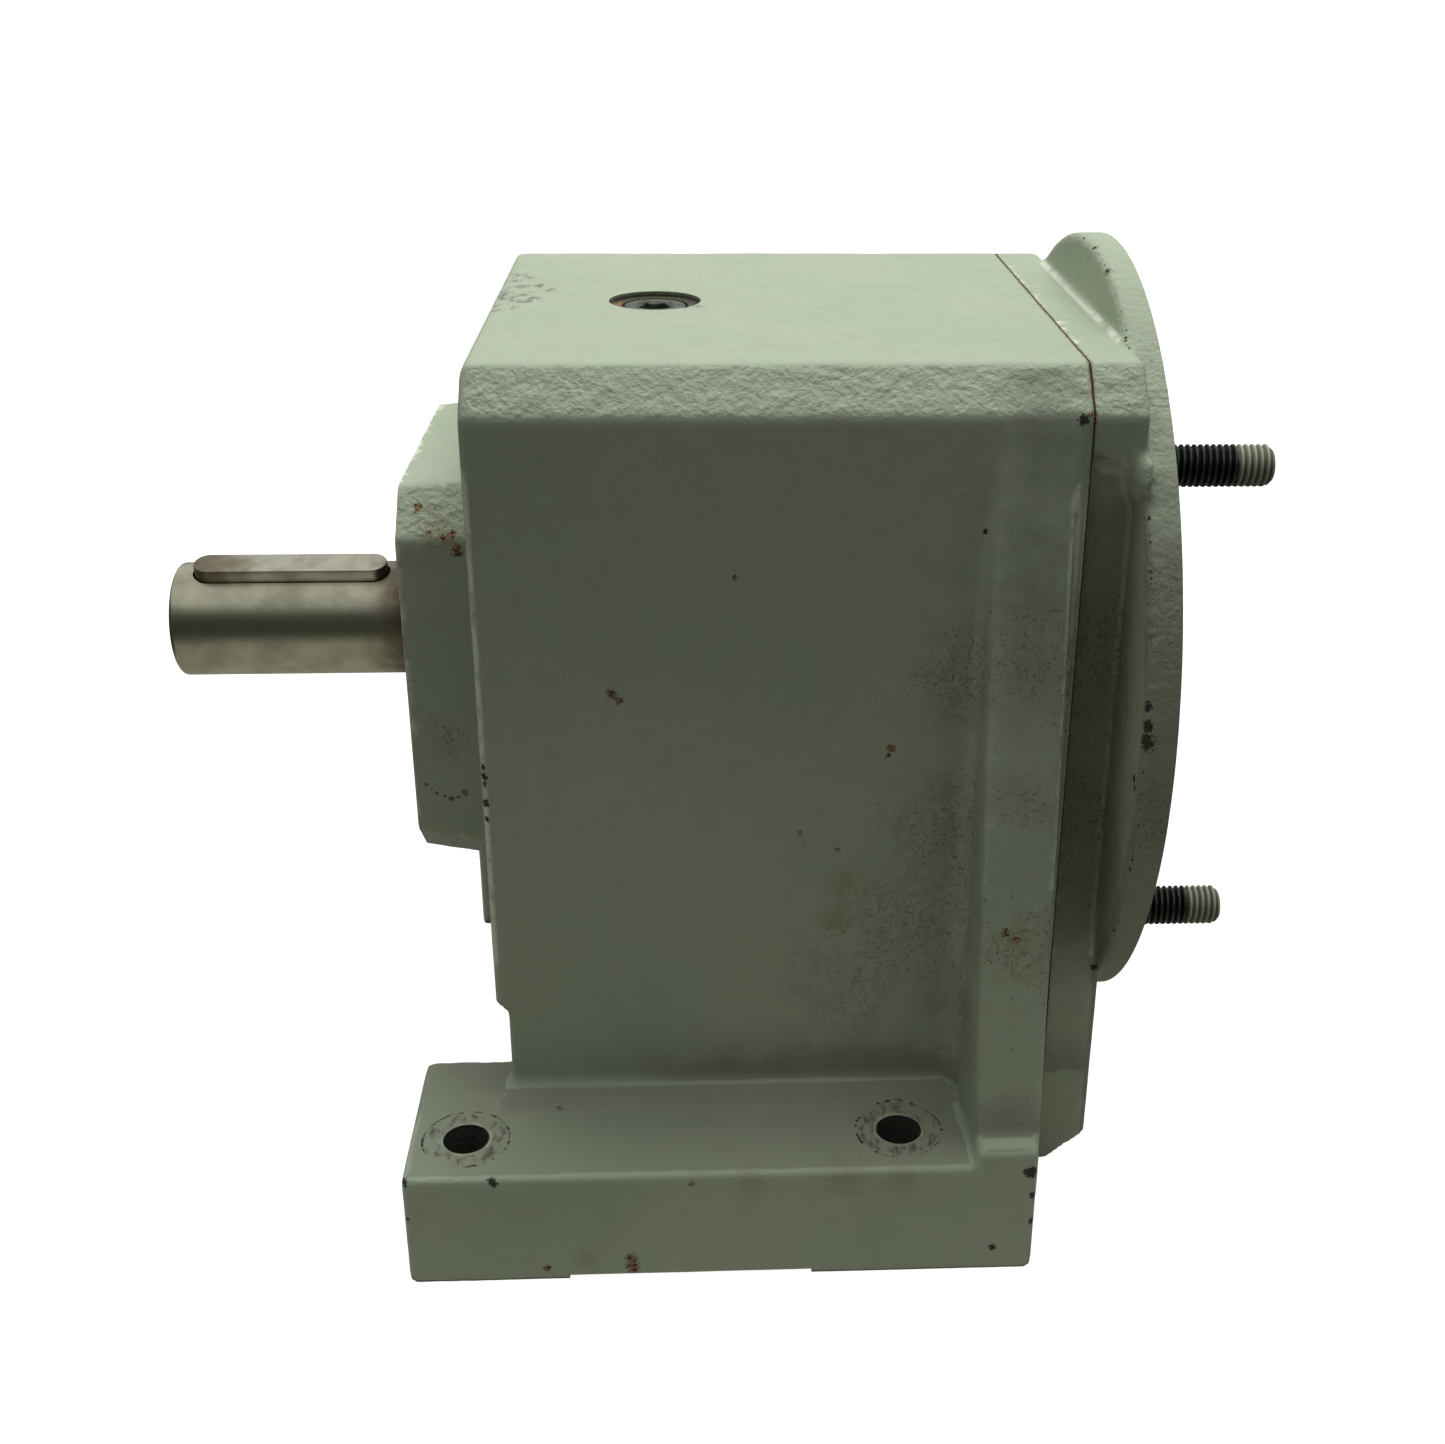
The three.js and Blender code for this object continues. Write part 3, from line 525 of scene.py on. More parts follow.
def output_key():
    """A round-ended feather key with its top edges broken."""
    key = slot_cutter(4, -80.3, -30.3, KEY_FLOOR, 17.95, KEY_TURN)
    bevel = key.modifiers.new("edges", "BEVEL")
    bevel.width, bevel.segments = 0.35, 2
    bevel.limit_method, bevel.angle_limit = "ANGLE", math.radians(50)
    return settle(key)


# ---------- bearings and seals
GROOVE, SHOULDER = 1.02, 0.62  # groove radius, and shoulder distance from the balls' circle, in ball radii


def bearing_specs():
    """Each bearing's sizes, its left face, its axis height and the body that its inner ring rides on."""
    wide = dict(bore=17.5, outer=36.0, width=17.0, ball=5.55, balls=9)
    medium = dict(bore=12.5, outer=26.0, width=15.0, ball=3.97, balls=9)
    small = dict(bore=8.5, outer=20.0, width=12.0, ball=3.37, balls=8)
    return {
        "output_front": (wide, -9.0, 0.0, "output_train"),
        "output_rear": (medium, 56.5, 0.0, "output_train"),
        "counter_left": (small, 11.0, STEPDOWN, "counter_train"),
        "counter_right": (small, 124.0, STEPDOWN, "counter_train"),
        "input_inner": (wide, 105.4, 0.0, "input_train"),
        "input_outer": (wide, 128.0, 0.0, "input_train"),
    }


def race(spec, left, z, seat, away):
    """A bearing ring with a true round groove. away is 1 for the outer ring and -1 for the inner one."""
    pitch = (spec["bore"] + spec["outer"]) / 2
    middle, right = left + spec["width"] / 2, left + spec["width"]
    shoulder, groove = pitch + away * SHOULDER * spec["ball"], GROOVE * spec["ball"]
    reach = math.acos(SHOULDER / GROOVE)
    arc = [(middle + groove * math.sin(a), pitch + away * groove * math.cos(a))
           for a in np.linspace(-reach, reach, 13)]
    rim = 0.5
    profile = [(left, seat - away * rim), (left + rim, seat), (right - rim, seat), (right, seat - away * rim),
               (right, shoulder + away * rim), (right - rim, shoulder), *reversed(arc),
               (left + rim, shoulder), (left, shoulder + away * rim)]
    return lathe(profile, 96, (0, z), closed=True)


def balls_and_cage(spec, left, z):
    middle, pitch = left + spec["width"] / 2, (spec["bore"] + spec["outer"]) / 2
    cage = lathe([(middle - 2.4, pitch - 0.7), (middle - 2.4, pitch + 0.7), (middle + 2.4, pitch + 0.7),
                  (middle + 2.4, pitch - 0.7)], 72, (0, z), closed=True)
    for i in range(spec["balls"]):
        turn = 2 * math.pi * i / spec["balls"]
        bm = bmesh.new()
        bmesh.ops.create_icosphere(bm, subdivisions=3, radius=spec["ball"])
        ball = mesh_object("ball", [], [])
        bm.to_mesh(ball.data)
        bm.free()
        ball.data.transform(Matrix.Translation((middle, pitch * math.sin(turn), z + pitch * math.cos(turn))))
        boolean(cage, ball, "UNION")
    return cage


def lip_seal(face, depth, shaft, outer):
    """A rubber seal ring: its cased rim and web, then the main lip and the dust lip that reach the shaft."""
    back, rim = face + depth, outer - 0.05
    return lathe([
        (face, shaft + 3.5), (face + 0.5, outer - 0.6), (face + 1.1, rim), (back, rim),
        (back, outer - 2), (face + 1.6, outer - 2), (face + 1.6, shaft + 4.5), (back - 1, shaft + 3.4),
        (back - 1.2, shaft + 0.9), (back - 2.2, shaft + 0.06), (face + 1.8, shaft + 1.2),
        (face + 0.9, shaft + 0.12), (face + 0.3, shaft + 0.5), (face, shaft + 1.4)], 128, closed=True)


# ---------- materials
class Nodes:
    """Short calls for building one node material."""

    def __init__(self, name):
        self.material = bpy.data.materials.new(name)
        self.material.use_nodes = True
        self.tree = self.material.node_tree
        self.shader = self.tree.nodes["Principled BSDF"]
        self.position = self.add("ShaderNodeTexCoord").outputs["Object"]

    def add(self, kind, **settings):
        node = self.tree.nodes.new(kind)
        for key, value in settings.items():
            setattr(node, key, value)
        return node

    def link(self, source, target):
        self.tree.links.new(source, target)

    def feed(self, socket, value):
        if isinstance(value, bpy.types.NodeSocket):
            self.link(value, socket)
        else:
            socket.default_value = value

    def attribute(self, name):
        return self.add("ShaderNodeAttribute", attribute_name=name).outputs["Fac"]

    def noise(self, millimetres, detail=3.0, roughness=0.55, stretch=None):
        node = self.add("ShaderNodeTexNoise")
        node.inputs["Scale"].default_value = 1 / (millimetres * MM)
        node.inputs["Detail"].default_value = detail
        node.inputs["Roughness"].default_value = roughness
        where = self.position
        if stretch:
            mapping = self.add("ShaderNodeMapping")
            mapping.inputs["Scale"].default_value = stretch
            self.link(where, mapping.inputs["Vector"])
            where = mapping.outputs["Vector"]
        self.link(where, node.inputs["Vector"])
        return node.outputs["Fac"]

    def math(self, operation, a, b=0.0):
        node = self.add("ShaderNodeMath", operation=operation)
        self.feed(node.inputs[0], a)
        self.feed(node.inputs[1], b)
        return node.outputs["Value"]

    def plus(self, a, b):
        return self.math("ADD", a, b)

    def minus(self, a, b):
        return self.math("SUBTRACT", a, b)

    def times(self, a, b):
        return self.math("MULTIPLY", a, b)

    def larger(self, a, b):
        return self.math("MAXIMUM", a, b)

    def gap(self, a, b):
        """How far apart two values are."""
        return self.math("ABSOLUTE", self.minus(a, b))

    def ramp(self, value, low, high):
        """0 at low and 1 at high, smooth between; low may be the larger number."""
        node = self.add("ShaderNodeMapRange", interpolation_type="SMOOTHSTEP")
        self.feed(node.inputs["Value"], value)
        node.inputs["From Min"].default_value = low
        node.inputs["From Max"].default_value = high
        return node.outputs["Result"]

    def mix(self, share, a, b):
        node = self.add("ShaderNodeMix", data_type="RGBA")
        self.feed(node.inputs[0], share)
        self.feed(node.inputs[6], a)
        self.feed(node.inputs[7], b)
        return node.outputs[2]

    def blend(self, share, a, b):
        node = self.add("ShaderNodeMix", data_type="FLOAT")
        self.feed(node.inputs[0], share)
        self.feed(node.inputs[2], a)
        self.feed(node.inputs[3], b)
        return node.outputs[0]

    def bump(self, height, distance_mm, strength=1.0):
        node = self.add("ShaderNodeBump")
        node.inputs["Distance"].default_value = distance_mm * MM
        node.inputs["Strength"].default_value = strength
        self.link(height, node.inputs["Height"])
        self.link(node.outputs["Normal"], self.shader.inputs["Normal"])

    def axis(self, letter):
        node = self.add("ShaderNodeSeparateXYZ")
        self.link(self.position, node.inputs["Vector"])
        return node.outputs[letter]

    def ragged(self, millimetres, amount):
        """Noise from about -amount / 4 to amount / 4 that frays the outline of a mark."""
        return self.times(self.minus(self.noise(millimetres, 4, 0.7), 0.5), amount)

    def nearest(self, spots, flat=False):
        """Distance to the nearest (x, y, z, radius) spot, in that spot's radii; flat leaves heights out."""
        keep = Vector((1, 1, 0 if flat else 1))
        where = self.position
        if flat:
            level = self.add("ShaderNodeVectorMath", operation="MULTIPLY")
            self.link(self.position, level.inputs[0])
            level.inputs[1].default_value = keep
            where = level.outputs["Vector"]
        closest = None
        for x, y, z, radius in spots:
            node = self.add("ShaderNodeVectorMath", operation="DISTANCE")
            self.link(where, node.inputs[0])
            node.inputs[1].default_value = (TO_ROW @ Vector((x, y, z))) * keep
            reach = self.math("DIVIDE", node.outputs["Value"], radius * MM)
            closest = self.math("MINIMUM", closest, reach) if closest else reach
        return closest


def rgb(r, g, b):
    """A linear colour from 8-bit sRGB numbers."""

    def linear(value):
        value /= 255
        return value / 12.92 if value <= 0.04045 else ((value + 0.055) / 1.055) ** 2.4
    return (linear(r), linear(g), linear(b), 1.0)


# marks on the paint, each (x, y, z, radius) in millimetres, placed from readings of the photo
RUST_SPOTS = [
    (31.2, -76.5, 10.6, 1.1), (32.9, -76.5, 8.8, 0.8), (95.6, -76.5, -4, 0.9), (94.9, -76.5, -6, 0.6),
    (59.3, -76.5, 38.5, 0.5), (74.5, -76.5, -26, 0.5), (83.7, -76.5, -30.7, 0.5), (122, -93.8, -44, 1.0),
    (124.3, -94, -45.6, 0.9), (33.1, -107, -126.2, 1.3), (33.4, -107, -128.8, 1.5),
    (12.5, -107, -128.4, 0.9), (-11.9, -48.2, 40.2, 0.9), (-8.3, -48.4, 38.7, 1.0),
    (-5.4, -48.6, 35.7, 1.5), (-6.6, -48.4, 39.4, 1.1), (-15, -42, 43.8, 1.3), (-17.1, -48.3, -25.9, 0.6),
    (-15.9, -48.3, -27.1, 0.5), (-14.6, -48.4, -28.2, 0.6), (-12.9, -48.5, -29, 0.5),
    (-11.2, -48.6, -29.7, 0.7), (-9.3, -48.8, -29.2, 0.6), (-7.6, -49, -28, 0.8), (15, -81.3, -101, 1.0),
    (136.8, -76.5, 75.5, 0.9), (48, -107, -104, 0.7),
]
CHIP_SPOTS = [
    (114.6, -77, 49.1, 0.5), (109.9, -77, 57.4, 0.4), (134.8, -76.3, 74.2, 1.0), (0.4, -107, -101.6, 0.9),
    (1.0, -107, -102.8, 0.7), (-20.6, -106.3, -102, 1.1), (129.4, -107, -102.8, 1.4),
    (121.3, -107, -125.4, 0.8), (130.6, -107, -110, 0.8), (131, -107, -118, 0.9), (-20.3, -107, -113, 0.6),
    (0.7, -75.8, -8, 0.7), (0.7, -75.8, -10.4, 0.9), (0.7, -75.8, -12.2, 0.6), (0.7, -75.8, -17.4, 0.9),
    (0.7, -75.8, -21.5, 0.7), (148.5, -99.7, 7.6, 1.9), (148.5, -99.4, 11.4, 1.5),
    (148.5, -98.4, 15.6, 1.1), (148.3, -94.8, -3.5, 0.8), (148.3, -95.8, -5.4, 0.7),
    (148.5, -93, 38.8, 0.9), (148.5, -90.4, 43.4, 0.7), (148.5, -96.2, 28.6, 0.8), (148.6, -9.3, 100, 1.3),
    (148.6, -24.9, 97.1, 1.2), (148.6, -33.2, 95.4, 1.0),
]
STAINS = [
    (85.4, -76.5, -39.5, 5), (84.1, -76.5, -49.9, 5), (85, -107, -103.5, 7), (62, -107, -104, 5),
    (98, -107, -104.5, 5), (22, -107, -126, 4), (125, -94, -46, 4), (-9, -48.2, 41, 7), (33, 1, 83.3, 4),
]
SPECKLED = [
    (98, -76.5, -54, 34), (84, -76.5, -68, 24), (108, -76.5, -24, 26), (112, -77, 14, 20),
    (117, -79, -44, 26), (118, -83, -78, 20), (126, -80, 22, 22), (124, -84, -12, 16), (128, -93, -50, 20),
    (144, -73, 14, 34), (144, -74, -30, 28), (152, -93, 36, 20), (152, -97, -10, 18), (-12, -46, 40, 7),
    (-10, -48, -14, 9),
]
SCUFFS = [
    (2.5, -9, 84.5, 6), (2.5, 6, 84.5, 8), (3, 30, 84.5, 7), (9, 15, 84.5, 7), (8, 1, 84.5, 5),
    (51, -9, 84.5, 3.5),
]
FOOT_SEAT = 8.8  # radius of the washer seat round a foot hole


# the paint's colours
GREEN, PALE_GREEN, DULL_GREEN = rgb(154, 166, 141), rgb(160, 170, 146), rgb(148, 154, 134)
# the near-white edge colour stands for paint rubbed thin and also for a painted highlight along the edges
RUBBED_AND_HIGHLIT, SCUFFED, GRIME_AND_SHADE = rgb(230, 235, 216), rgb(98, 105, 84), rgb(102, 103, 88)
DARK_SPECK, BROWN_SPECK, DUST = rgb(58, 58, 42), rgb(100, 84, 56), rgb(112, 96, 66)
# the hole-wall colour is bare iron and also painted shade inside the foot holes
STAIN, SEAT_SMEAR, HOLE_IRON_AND_SHADE = rgb(124, 108, 62), rgb(84, 80, 64), rgb(66, 64, 58)
DARK_RUST, PALE_RUST = rgb(60, 46, 28), rgb(146, 120, 84)
DARK_CHIP, PALE_CHIP = rgb(30, 28, 24), rgb(66, 58, 46)
RECESS, STAINED_RECESS = rgb(60, 58, 42), rgb(190, 140, 50)
MACHINED, DULL_MACHINED = rgb(150, 149, 140), rgb(128, 124, 114)


def machined_faces(n):
    """1 on the flange face and the foot's underside, which are machined and bare."""
    flange, foot = END_WALL_X + FLANGE_FACE * MM, AXIS_Z + FOOT_BOTTOM * MM
    return n.larger(n.ramp(n.axis("X"), flange - 0.08 * MM, flange - 0.04 * MM),
                    n.ramp(n.axis("Z"), foot + 0.08 * MM, foot + 0.04 * MM))


def joint_rust(n):
    """A thin line of rust along the cover joint, stronger near the top."""
    from_joint = n.gap(n.axis("X"), END_WALL_X + (SEAM + GASKET / 2) * MM)
    upper = n.ramp(n.axis("Z"), AXIS_Z + 62 * MM, AXIS_Z + 76 * MM)
    line = n.ramp(n.plus(from_joint, n.ragged(2, 1.6 * MM)), 0.8 * MM, 0.2 * MM)
    return n.times(line, n.plus(n.times(upper, 0.35), 0.35))


def paint_material():
    """Grey-green machine paint over a sand casting: fine grain, grime with painted shade, edges lightened by
    rubbing and a painted highlight, chips to iron and rust.
    """
    n = Nodes("machine_paint")
    mottle, speck, fray = n.noise(7, 4), n.noise(0.85, 3, 0.65), n.ragged(0.8, 3.4)
    machined = machined_faces(n)
    painted = n.minus(1.0, machined)
    # clean paint, edges lightened by rubbing and by a painted highlight, and scuffs
    colour = n.mix(n.ramp(n.noise(60, 3), 0.3, 0.7), GREEN, PALE_GREEN)
    colour = n.mix(n.times(n.ramp(mottle, 0.4, 0.8), 0.35), colour, DULL_GREEN)
    # painted highlight: the edge mask lightens edges and fillets towards near-white, partly rubbed paint and
    # partly a highlight painted in
    worn_and_highlit = n.times(n.attribute("edge"), n.ramp(n.noise(5, 4, 0.7), 0.3, 0.55))
    colour = n.mix(n.times(worn_and_highlit, 0.7), colour, RUBBED_AND_HIGHLIT)
    strokes = n.ramp(n.noise(2.4, 4, 0.7, stretch=(1.0, 0.45, 1.0)), 0.47, 0.62)
    scuff = n.times(n.ramp(n.plus(n.nearest(SCUFFS), n.ragged(6, 1.6)), 1.1, 0.6), strokes)
    colour = n.mix(n.times(scuff, 0.9), colour, SCUFFED)
    # grime and painted shade, specks, dust and stains
    # painted shade: this film also darkens the valley beside the rib, the wall above the foot, the cover's
    # side and the foot's top where the body's shadow falls, along with grime
    film = n.times(n.ramp(n.plus(n.attribute("grime"), n.noise(13, 4)), 0.7, 1.4), 0.5)
    colour = n.mix(film, colour, GRIME_AND_SHADE)
    speckled = n.plus(n.ramp(n.nearest(SPECKLED), 1.3, 0.1), n.times(n.noise(14, 4), 1.2))
    specks = n.ramp(n.plus(n.times(speckled, 0.13), speck), 0.765, 0.82)
    colour = n.mix(n.times(specks, 0.6), colour, n.mix(mottle, DARK_SPECK, BROWN_SPECK))
    dust = n.times(n.ramp(speckled, 1.0, 1.7), n.ramp(n.noise(2.2, 4, 0.7), 0.38, 0.62))
    colour = n.mix(n.times(dust, 0.3), colour, DUST)
    stain = n.times(n.ramp(n.plus(n.nearest(STAINS), fray), 1.1, 0.2), 0.3)
    colour = n.mix(stain, colour, STAIN)
    # washer seats, rust and chips
    seat_reach = n.nearest([(x, y, FOOT_TOP, FOOT_SEAT) for x, y in FOOT_HOLES], flat=True)
    seat = n.times(n.ramp(n.gap(seat_reach, 0.92), 0.29, 0.1), strokes)
    colour = n.mix(n.times(seat, 0.95), colour, SEAT_SMEAR)
    rust = n.larger(joint_rust(n), n.ramp(n.plus(n.nearest(RUST_SPOTS), fray), 1.35, 0.8))
    colour = n.mix(rust, colour, n.mix(n.ramp(speck, 0.42, 0.56), DARK_RUST, PALE_RUST))
    seat_edge = n.ramp(n.plus(n.gap(seat_reach, 1.2), n.ragged(1.6, 0.3)), 0.012, -0.01)
    chip = n.larger(n.ramp(n.plus(n.nearest(CHIP_SPOTS), fray), 1.2, 1.05), seat_edge)
    chip = n.larger(chip, n.ramp(n.plus(n.attribute("chip"), n.ragged(2.6, 1.7)), 0.56, 0.62))
    chip = n.times(chip, painted)
    colour = n.mix(chip, colour, n.mix(speck, DARK_CHIP, PALE_CHIP))
    # plug recesses, foot holes darkened as bare iron with painted shade, and machined faces
    colour = n.mix(n.attribute("recess"), colour, n.mix(stain, RECESS, STAINED_RECESS))
    # painted shade: the foot holes' walls take a dark iron colour that also stands for the shade inside them
    colour = n.mix(n.ramp(seat_reach, 5.7 / FOOT_SEAT, 5.6 / FOOT_SEAT), colour, HOLE_IRON_AND_SHADE)
    colour = n.mix(machined, colour, n.mix(mottle, MACHINED, DULL_MACHINED))
    n.link(colour, n.shader.inputs["Base Color"])
    rough = n.blend(n.larger(film, rust), n.blend(mottle, 0.46, 0.58), 0.85)
    rough = n.blend(chip, rough, 0.7)
    n.link(n.blend(machined, rough, 0.42), n.shader.inputs["Roughness"])
    n.link(n.times(machined, 0.6), n.shader.inputs["Metallic"])
    # fine grain, bubbles on the coarse skin, and sunken chips
    grain = n.times(n.noise(0.9, 3, 0.6), 0.4)
    bubbles = n.minus(n.plus(n.noise(1.4, 2, 0.5), n.noise(3.2, 2, 0.5)), 1.0)
    bubbles = n.times(bubbles, n.times(n.times(n.attribute("coarse"), painted), 1.6))
    n.bump(n.minus(n.plus(grain, bubbles), n.times(chip, 0.8)), 0.3)
    return n.material


def steel_material(name, colour, dark, roughness, ring_mm=0.35, stain=None):
    """Turned or ground steel with fine rings round X. stain is (colour, X where clean, X where brown)."""
    n = Nodes(name)
    rings = n.noise(ring_mm, 2, 0.6, stretch=(1.0, 0.03, 0.03))
    smear = n.noise(9, 4)
    base = n.mix(n.ramp(smear, 0.35, 0.72), rgb(*colour), rgb(*dark))
    rough = n.blend(n.ramp(smear, 0.3, 0.75), roughness, roughness + 0.08)
    if stain:
        brown, clean, stained = stain
        film = n.ramp(n.plus(n.axis("X"), n.ragged(5, 10 * MM)), clean, stained)
        marks = n.times(n.ramp(n.noise(3.2, 4, 0.7), 0.66, 0.78), 0.5)
        film = n.larger(film, marks)
        base = n.mix(n.times(film, 0.8), base, rgb(*brown))
        rough = n.blend(film, rough, 0.55)
    n.link(base, n.shader.inputs["Base Color"])
    n.link(rough, n.shader.inputs["Roughness"])
    n.shader.inputs["Metallic"].default_value = 1.0
    n.bump(rings, 0.012, 0.6)
    return n.material


def black_oxide_material(name, painted_from=None):
    """Blackened steel with lighter rub marks, oversprayed with paint past painted_from, an X in metres; on a
    threaded stud the crests get a painted highlight and the valleys painted shade.
    """
    n = Nodes(name)
    rub = n.ramp(n.noise(2.5, 4, 0.7), 0.5, 0.78)
    colour = n.mix(rub, rgb(34, 33, 34), rgb(78, 76, 74))
    rough = n.blend(rub, 0.42, 0.3)
    if painted_from is None:
        n.shader.inputs["Metallic"].default_value = 0.75
    else:
        valley = n.attribute("valley")
        # painted highlight and shade: thread crests lighter than the plain black oxide, valleys near black
        colour = n.mix(valley, n.mix(rub, rgb(72, 71, 68), rgb(104, 102, 96)), rgb(20, 19, 19))
        frayed = n.plus(n.axis("X"), n.ragged(3, 1.4 * MM))
        painted = n.ramp(frayed, painted_from - 0.3 * MM, painted_from + 0.3 * MM)
        # painted shade: the overspray is darker in the thread valleys
        overspray_and_valley_shade = n.mix(valley, rgb(156, 162, 140), rgb(88, 92, 76))
        colour = n.mix(painted, colour, overspray_and_valley_shade)
        rough = n.blend(painted, rough, 0.6)
        n.link(n.blend(painted, 0.75, 0.0), n.shader.inputs["Metallic"])
    n.link(colour, n.shader.inputs["Base Color"])
    n.link(rough, n.shader.inputs["Roughness"])
    n.bump(n.noise(0.6, 2), 0.03, 0.5)
    return n.material


def plain_material(name, colour, other, roughness, metallic=0.0, grain_mm=2.0, bump_mm=0.08):
    """A two-tone mottled surface with matching grain, for raw iron, rubber, gasket and brass."""
    n = Nodes(name)
    grain = n.noise(grain_mm, 4, 0.6)
    n.link(n.mix(n.ramp(grain, 0.35, 0.7), rgb(*colour), rgb(*other)), n.shader.inputs["Base Color"])
    n.link(n.blend(grain, roughness - 0.08, roughness + 0.1), n.shader.inputs["Roughness"])
    n.shader.inputs["Metallic"].default_value = metallic
    n.bump(grain, bump_mm)
    return n.material


# ---------- wear and grime masks on the casing, with painted shade and painted highlights among them
def write_mask(mesh, name, values):
    layer = mesh.attributes.new(name, "FLOAT", "POINT")
    layer.data.foreach_set("value", np.clip(values, 0, 1).astype(np.float32))


def hump(value, middle, spread):
    return np.exp(-((value - middle) / spread) ** 2)


def grime_and_shade_mask(x, y, z, facing, slope, rim):
    """Grime and painted shade on the sides round the rib and cover: painted shade in the valley left of the
    rib and along the wall above the foot, grime with painted shade on the cover's side under the flange, a
    darker band on the rib stronger towards its top, a painted shadow of the body on the foot's top, and
    darkening low on the flange's rim.
    """
    outside = (np.abs(y) > HALF_WIDTH - 8) & (facing[:, 1] * np.sign(y) > 0.2) & (z > FOOT_TOP + 2)
    # painted shade in the valley left of the rib, stronger low down
    shade_beside_rib = 0.3 * hump(x, 109, 9) * smoothstep(70, 0, z)
    # painted shade along the wall just above the foot
    shade_above_foot = 0.75 * smoothstep(-78, -96, z) * (z > FOOT_TOP + 5) * smoothstep(0, 60, x)
    # a darker band on the rib's face, stronger towards its top
    on_rib = 0.45 * hump(x, 126, 10) * smoothstep(-70, 30, z)
    # grime with painted shade on the cover's side under the flange
    grime_and_shade_on_cover = (x > SEAM) * (x < COVER_RIGHT - 1) * smoothstep(60, 48, z) * smoothstep(-64, -50, z)
    dirty_and_shaded = outside * np.maximum.reduce([shade_beside_rib, shade_above_foot, on_rib, grime_and_shade_on_cover])
    # painted shadow of the body on the foot's top
    foot_top_shadow = 0.95 * (np.abs(z - FOOT_TOP) < 4) * (facing[:, 2] > 0.5)
    foot_top_shadow *= np.where(np.abs(y) < HALF_WIDTH + 6, 1, smoothstep(0.45, 0.3, slope))
    # darker low on the flange's rim, and slightly darker everywhere
    return np.maximum.reduce([dirty_and_shaded, foot_top_shadow, 0.8 * rim * smoothstep(80, 40, z)]) + 0.1


def rubbed_and_highlight_mask(x, y, z, facing, slope, cut):
    """Edges lightened by rubbing and by a painted highlight, apart from the coarse ones and the corners where
    the foot and rib meet the wall; and a painted light from below on the fillets under the cover's upper
    corners.
    """
    rubbed_and_highlit = smoothstep(0.35, 0.62, slope) * (cut < 0.1) * (np.hypot(y, z) < 98) * (x < COVER_RIGHT)
    rubbed_and_highlit *= (z < TOP - EDGE - 2.5) | (x > SEAM)
    beside_wall = (np.abs(y) < HALF_WIDTH + 3.6) & (z < FOOT_TOP + 10) & (x > 2)
    above_step = (x < 122) & (z > FOOT_TOP + 8)
    behind_ledge = (x < 117) & (np.abs(y) < FOOT_OUTER - 2.5)
    beside_upright = (x > 104) & (above_step | behind_ledge)
    rubbed_and_highlit *= ~beside_wall * np.where(beside_upright, 0.12, 1)
    in_cover = (x > SEAM + 1) * (x < COVER_RIGHT + 2)
    # painted light: the downward-facing fillets under the cover's upper corners are lightened as if lit by
    # the pale table below
    painted_light_under_corner = hump(z, 62, 4) * in_cover * smoothstep(-0.1, -0.35, facing[:, 2])
    return np.maximum(rubbed_and_highlit, 1.2 * painted_light_under_corner)


def recess_mask(x, y, z):
    """1 on the walls of the round recesses that the plugs stand in."""
    recess = np.zeros(len(x))
    for face, at, axis in PLUGS.values():
        sideways, depth = (y, face - z) if axis == "Z" else (z, face - y)
        away = np.hypot(x - at[0], sideways - at[1])
        recess = np.maximum(recess, (away < 11.8) & (depth > 0.6) & (depth < 4))
    return recess


def casing_masks(piece):
    """Writes where grime and painted shade, coarse skin, edges lightened by rubbing and a painted highlight,
    chipped rim and plug recesses lie.
    """
    points, facing = coordinates(piece.data), normals(piece.data)
    x, y, z = points.T
    radius = np.hypot(y, z)
    rim = (x > FLANGE_FACE - RIM - 0.5) * smoothstep(96, 98.5, radius)
    back_edge = np.hypot(radius - FLANGE_RADIUS, x - (FLANGE_FACE - RIM))
    slope = np.sort(np.abs(facing), axis=1)[:, 1]
    cut = cut_edges(points, facing)
    # the grime mask also holds painted shade and a painted shadow
    write_mask(piece.data, "grime", grime_and_shade_mask(x, y, z, facing, slope, rim))
    write_mask(piece.data, "coarse", np.maximum(cut, 0.55 * rim))
    # the edge mask holds rubbed edges together with a painted highlight and painted light
    write_mask(piece.data, "edge", rubbed_and_highlight_mask(x, y, z, facing, slope, cut))
    write_mask(piece.data, "chip", 0.5 * smoothstep(1.9, 0.6, back_edge))
    write_mask(piece.data, "recess", recess_mask(x, y, z))


# ---------- build the pieces
PAINT = paint_material()
SHAFT_STEEL = steel_material("ground_shaft_steel", (194, 194, 170), (170, 169, 146), 0.31,
                             stain=((88, 60, 38), END_WALL_X - 38 * MM, END_WALL_X - 23 * MM))
KEY_STEEL = steel_material("key_steel", (208, 206, 184), (158, 154, 132), 0.32,
                           stain=((116, 98, 70), END_WALL_X - 64 * MM, END_WALL_X - 82 * MM))
RING_STEEL = steel_material("bearing_ring_steel", (190, 191, 193), (160, 161, 165), 0.16)
GEAR_STEEL = steel_material("hobbed_gear_steel", (128, 129, 130), (92, 92, 94), 0.34, ring_mm=0.8)
BLACK = black_oxide_material("black_oxide")
STUD_METAL = black_oxide_material("stud_with_overspray", END_WALL_X + (STUD_TIP - 8.6) * MM)
RAW_IRON = plain_material("raw_grey_iron", (78, 76, 72), (54, 52, 50), 0.7,
                          metallic=0.6, grain_mm=3.0, bump_mm=0.25)
SEAL_RUBBER = plain_material("seal_rubber", (46, 34, 26), (30, 24, 20), 0.6,
                             metallic=0.0, grain_mm=1.5, bump_mm=0.05)
GASKET_PAPER = plain_material("rusty_gasket", (70, 48, 30), (42, 32, 24), 0.85,
                              metallic=0.0, grain_mm=2.5, bump_mm=0.1)
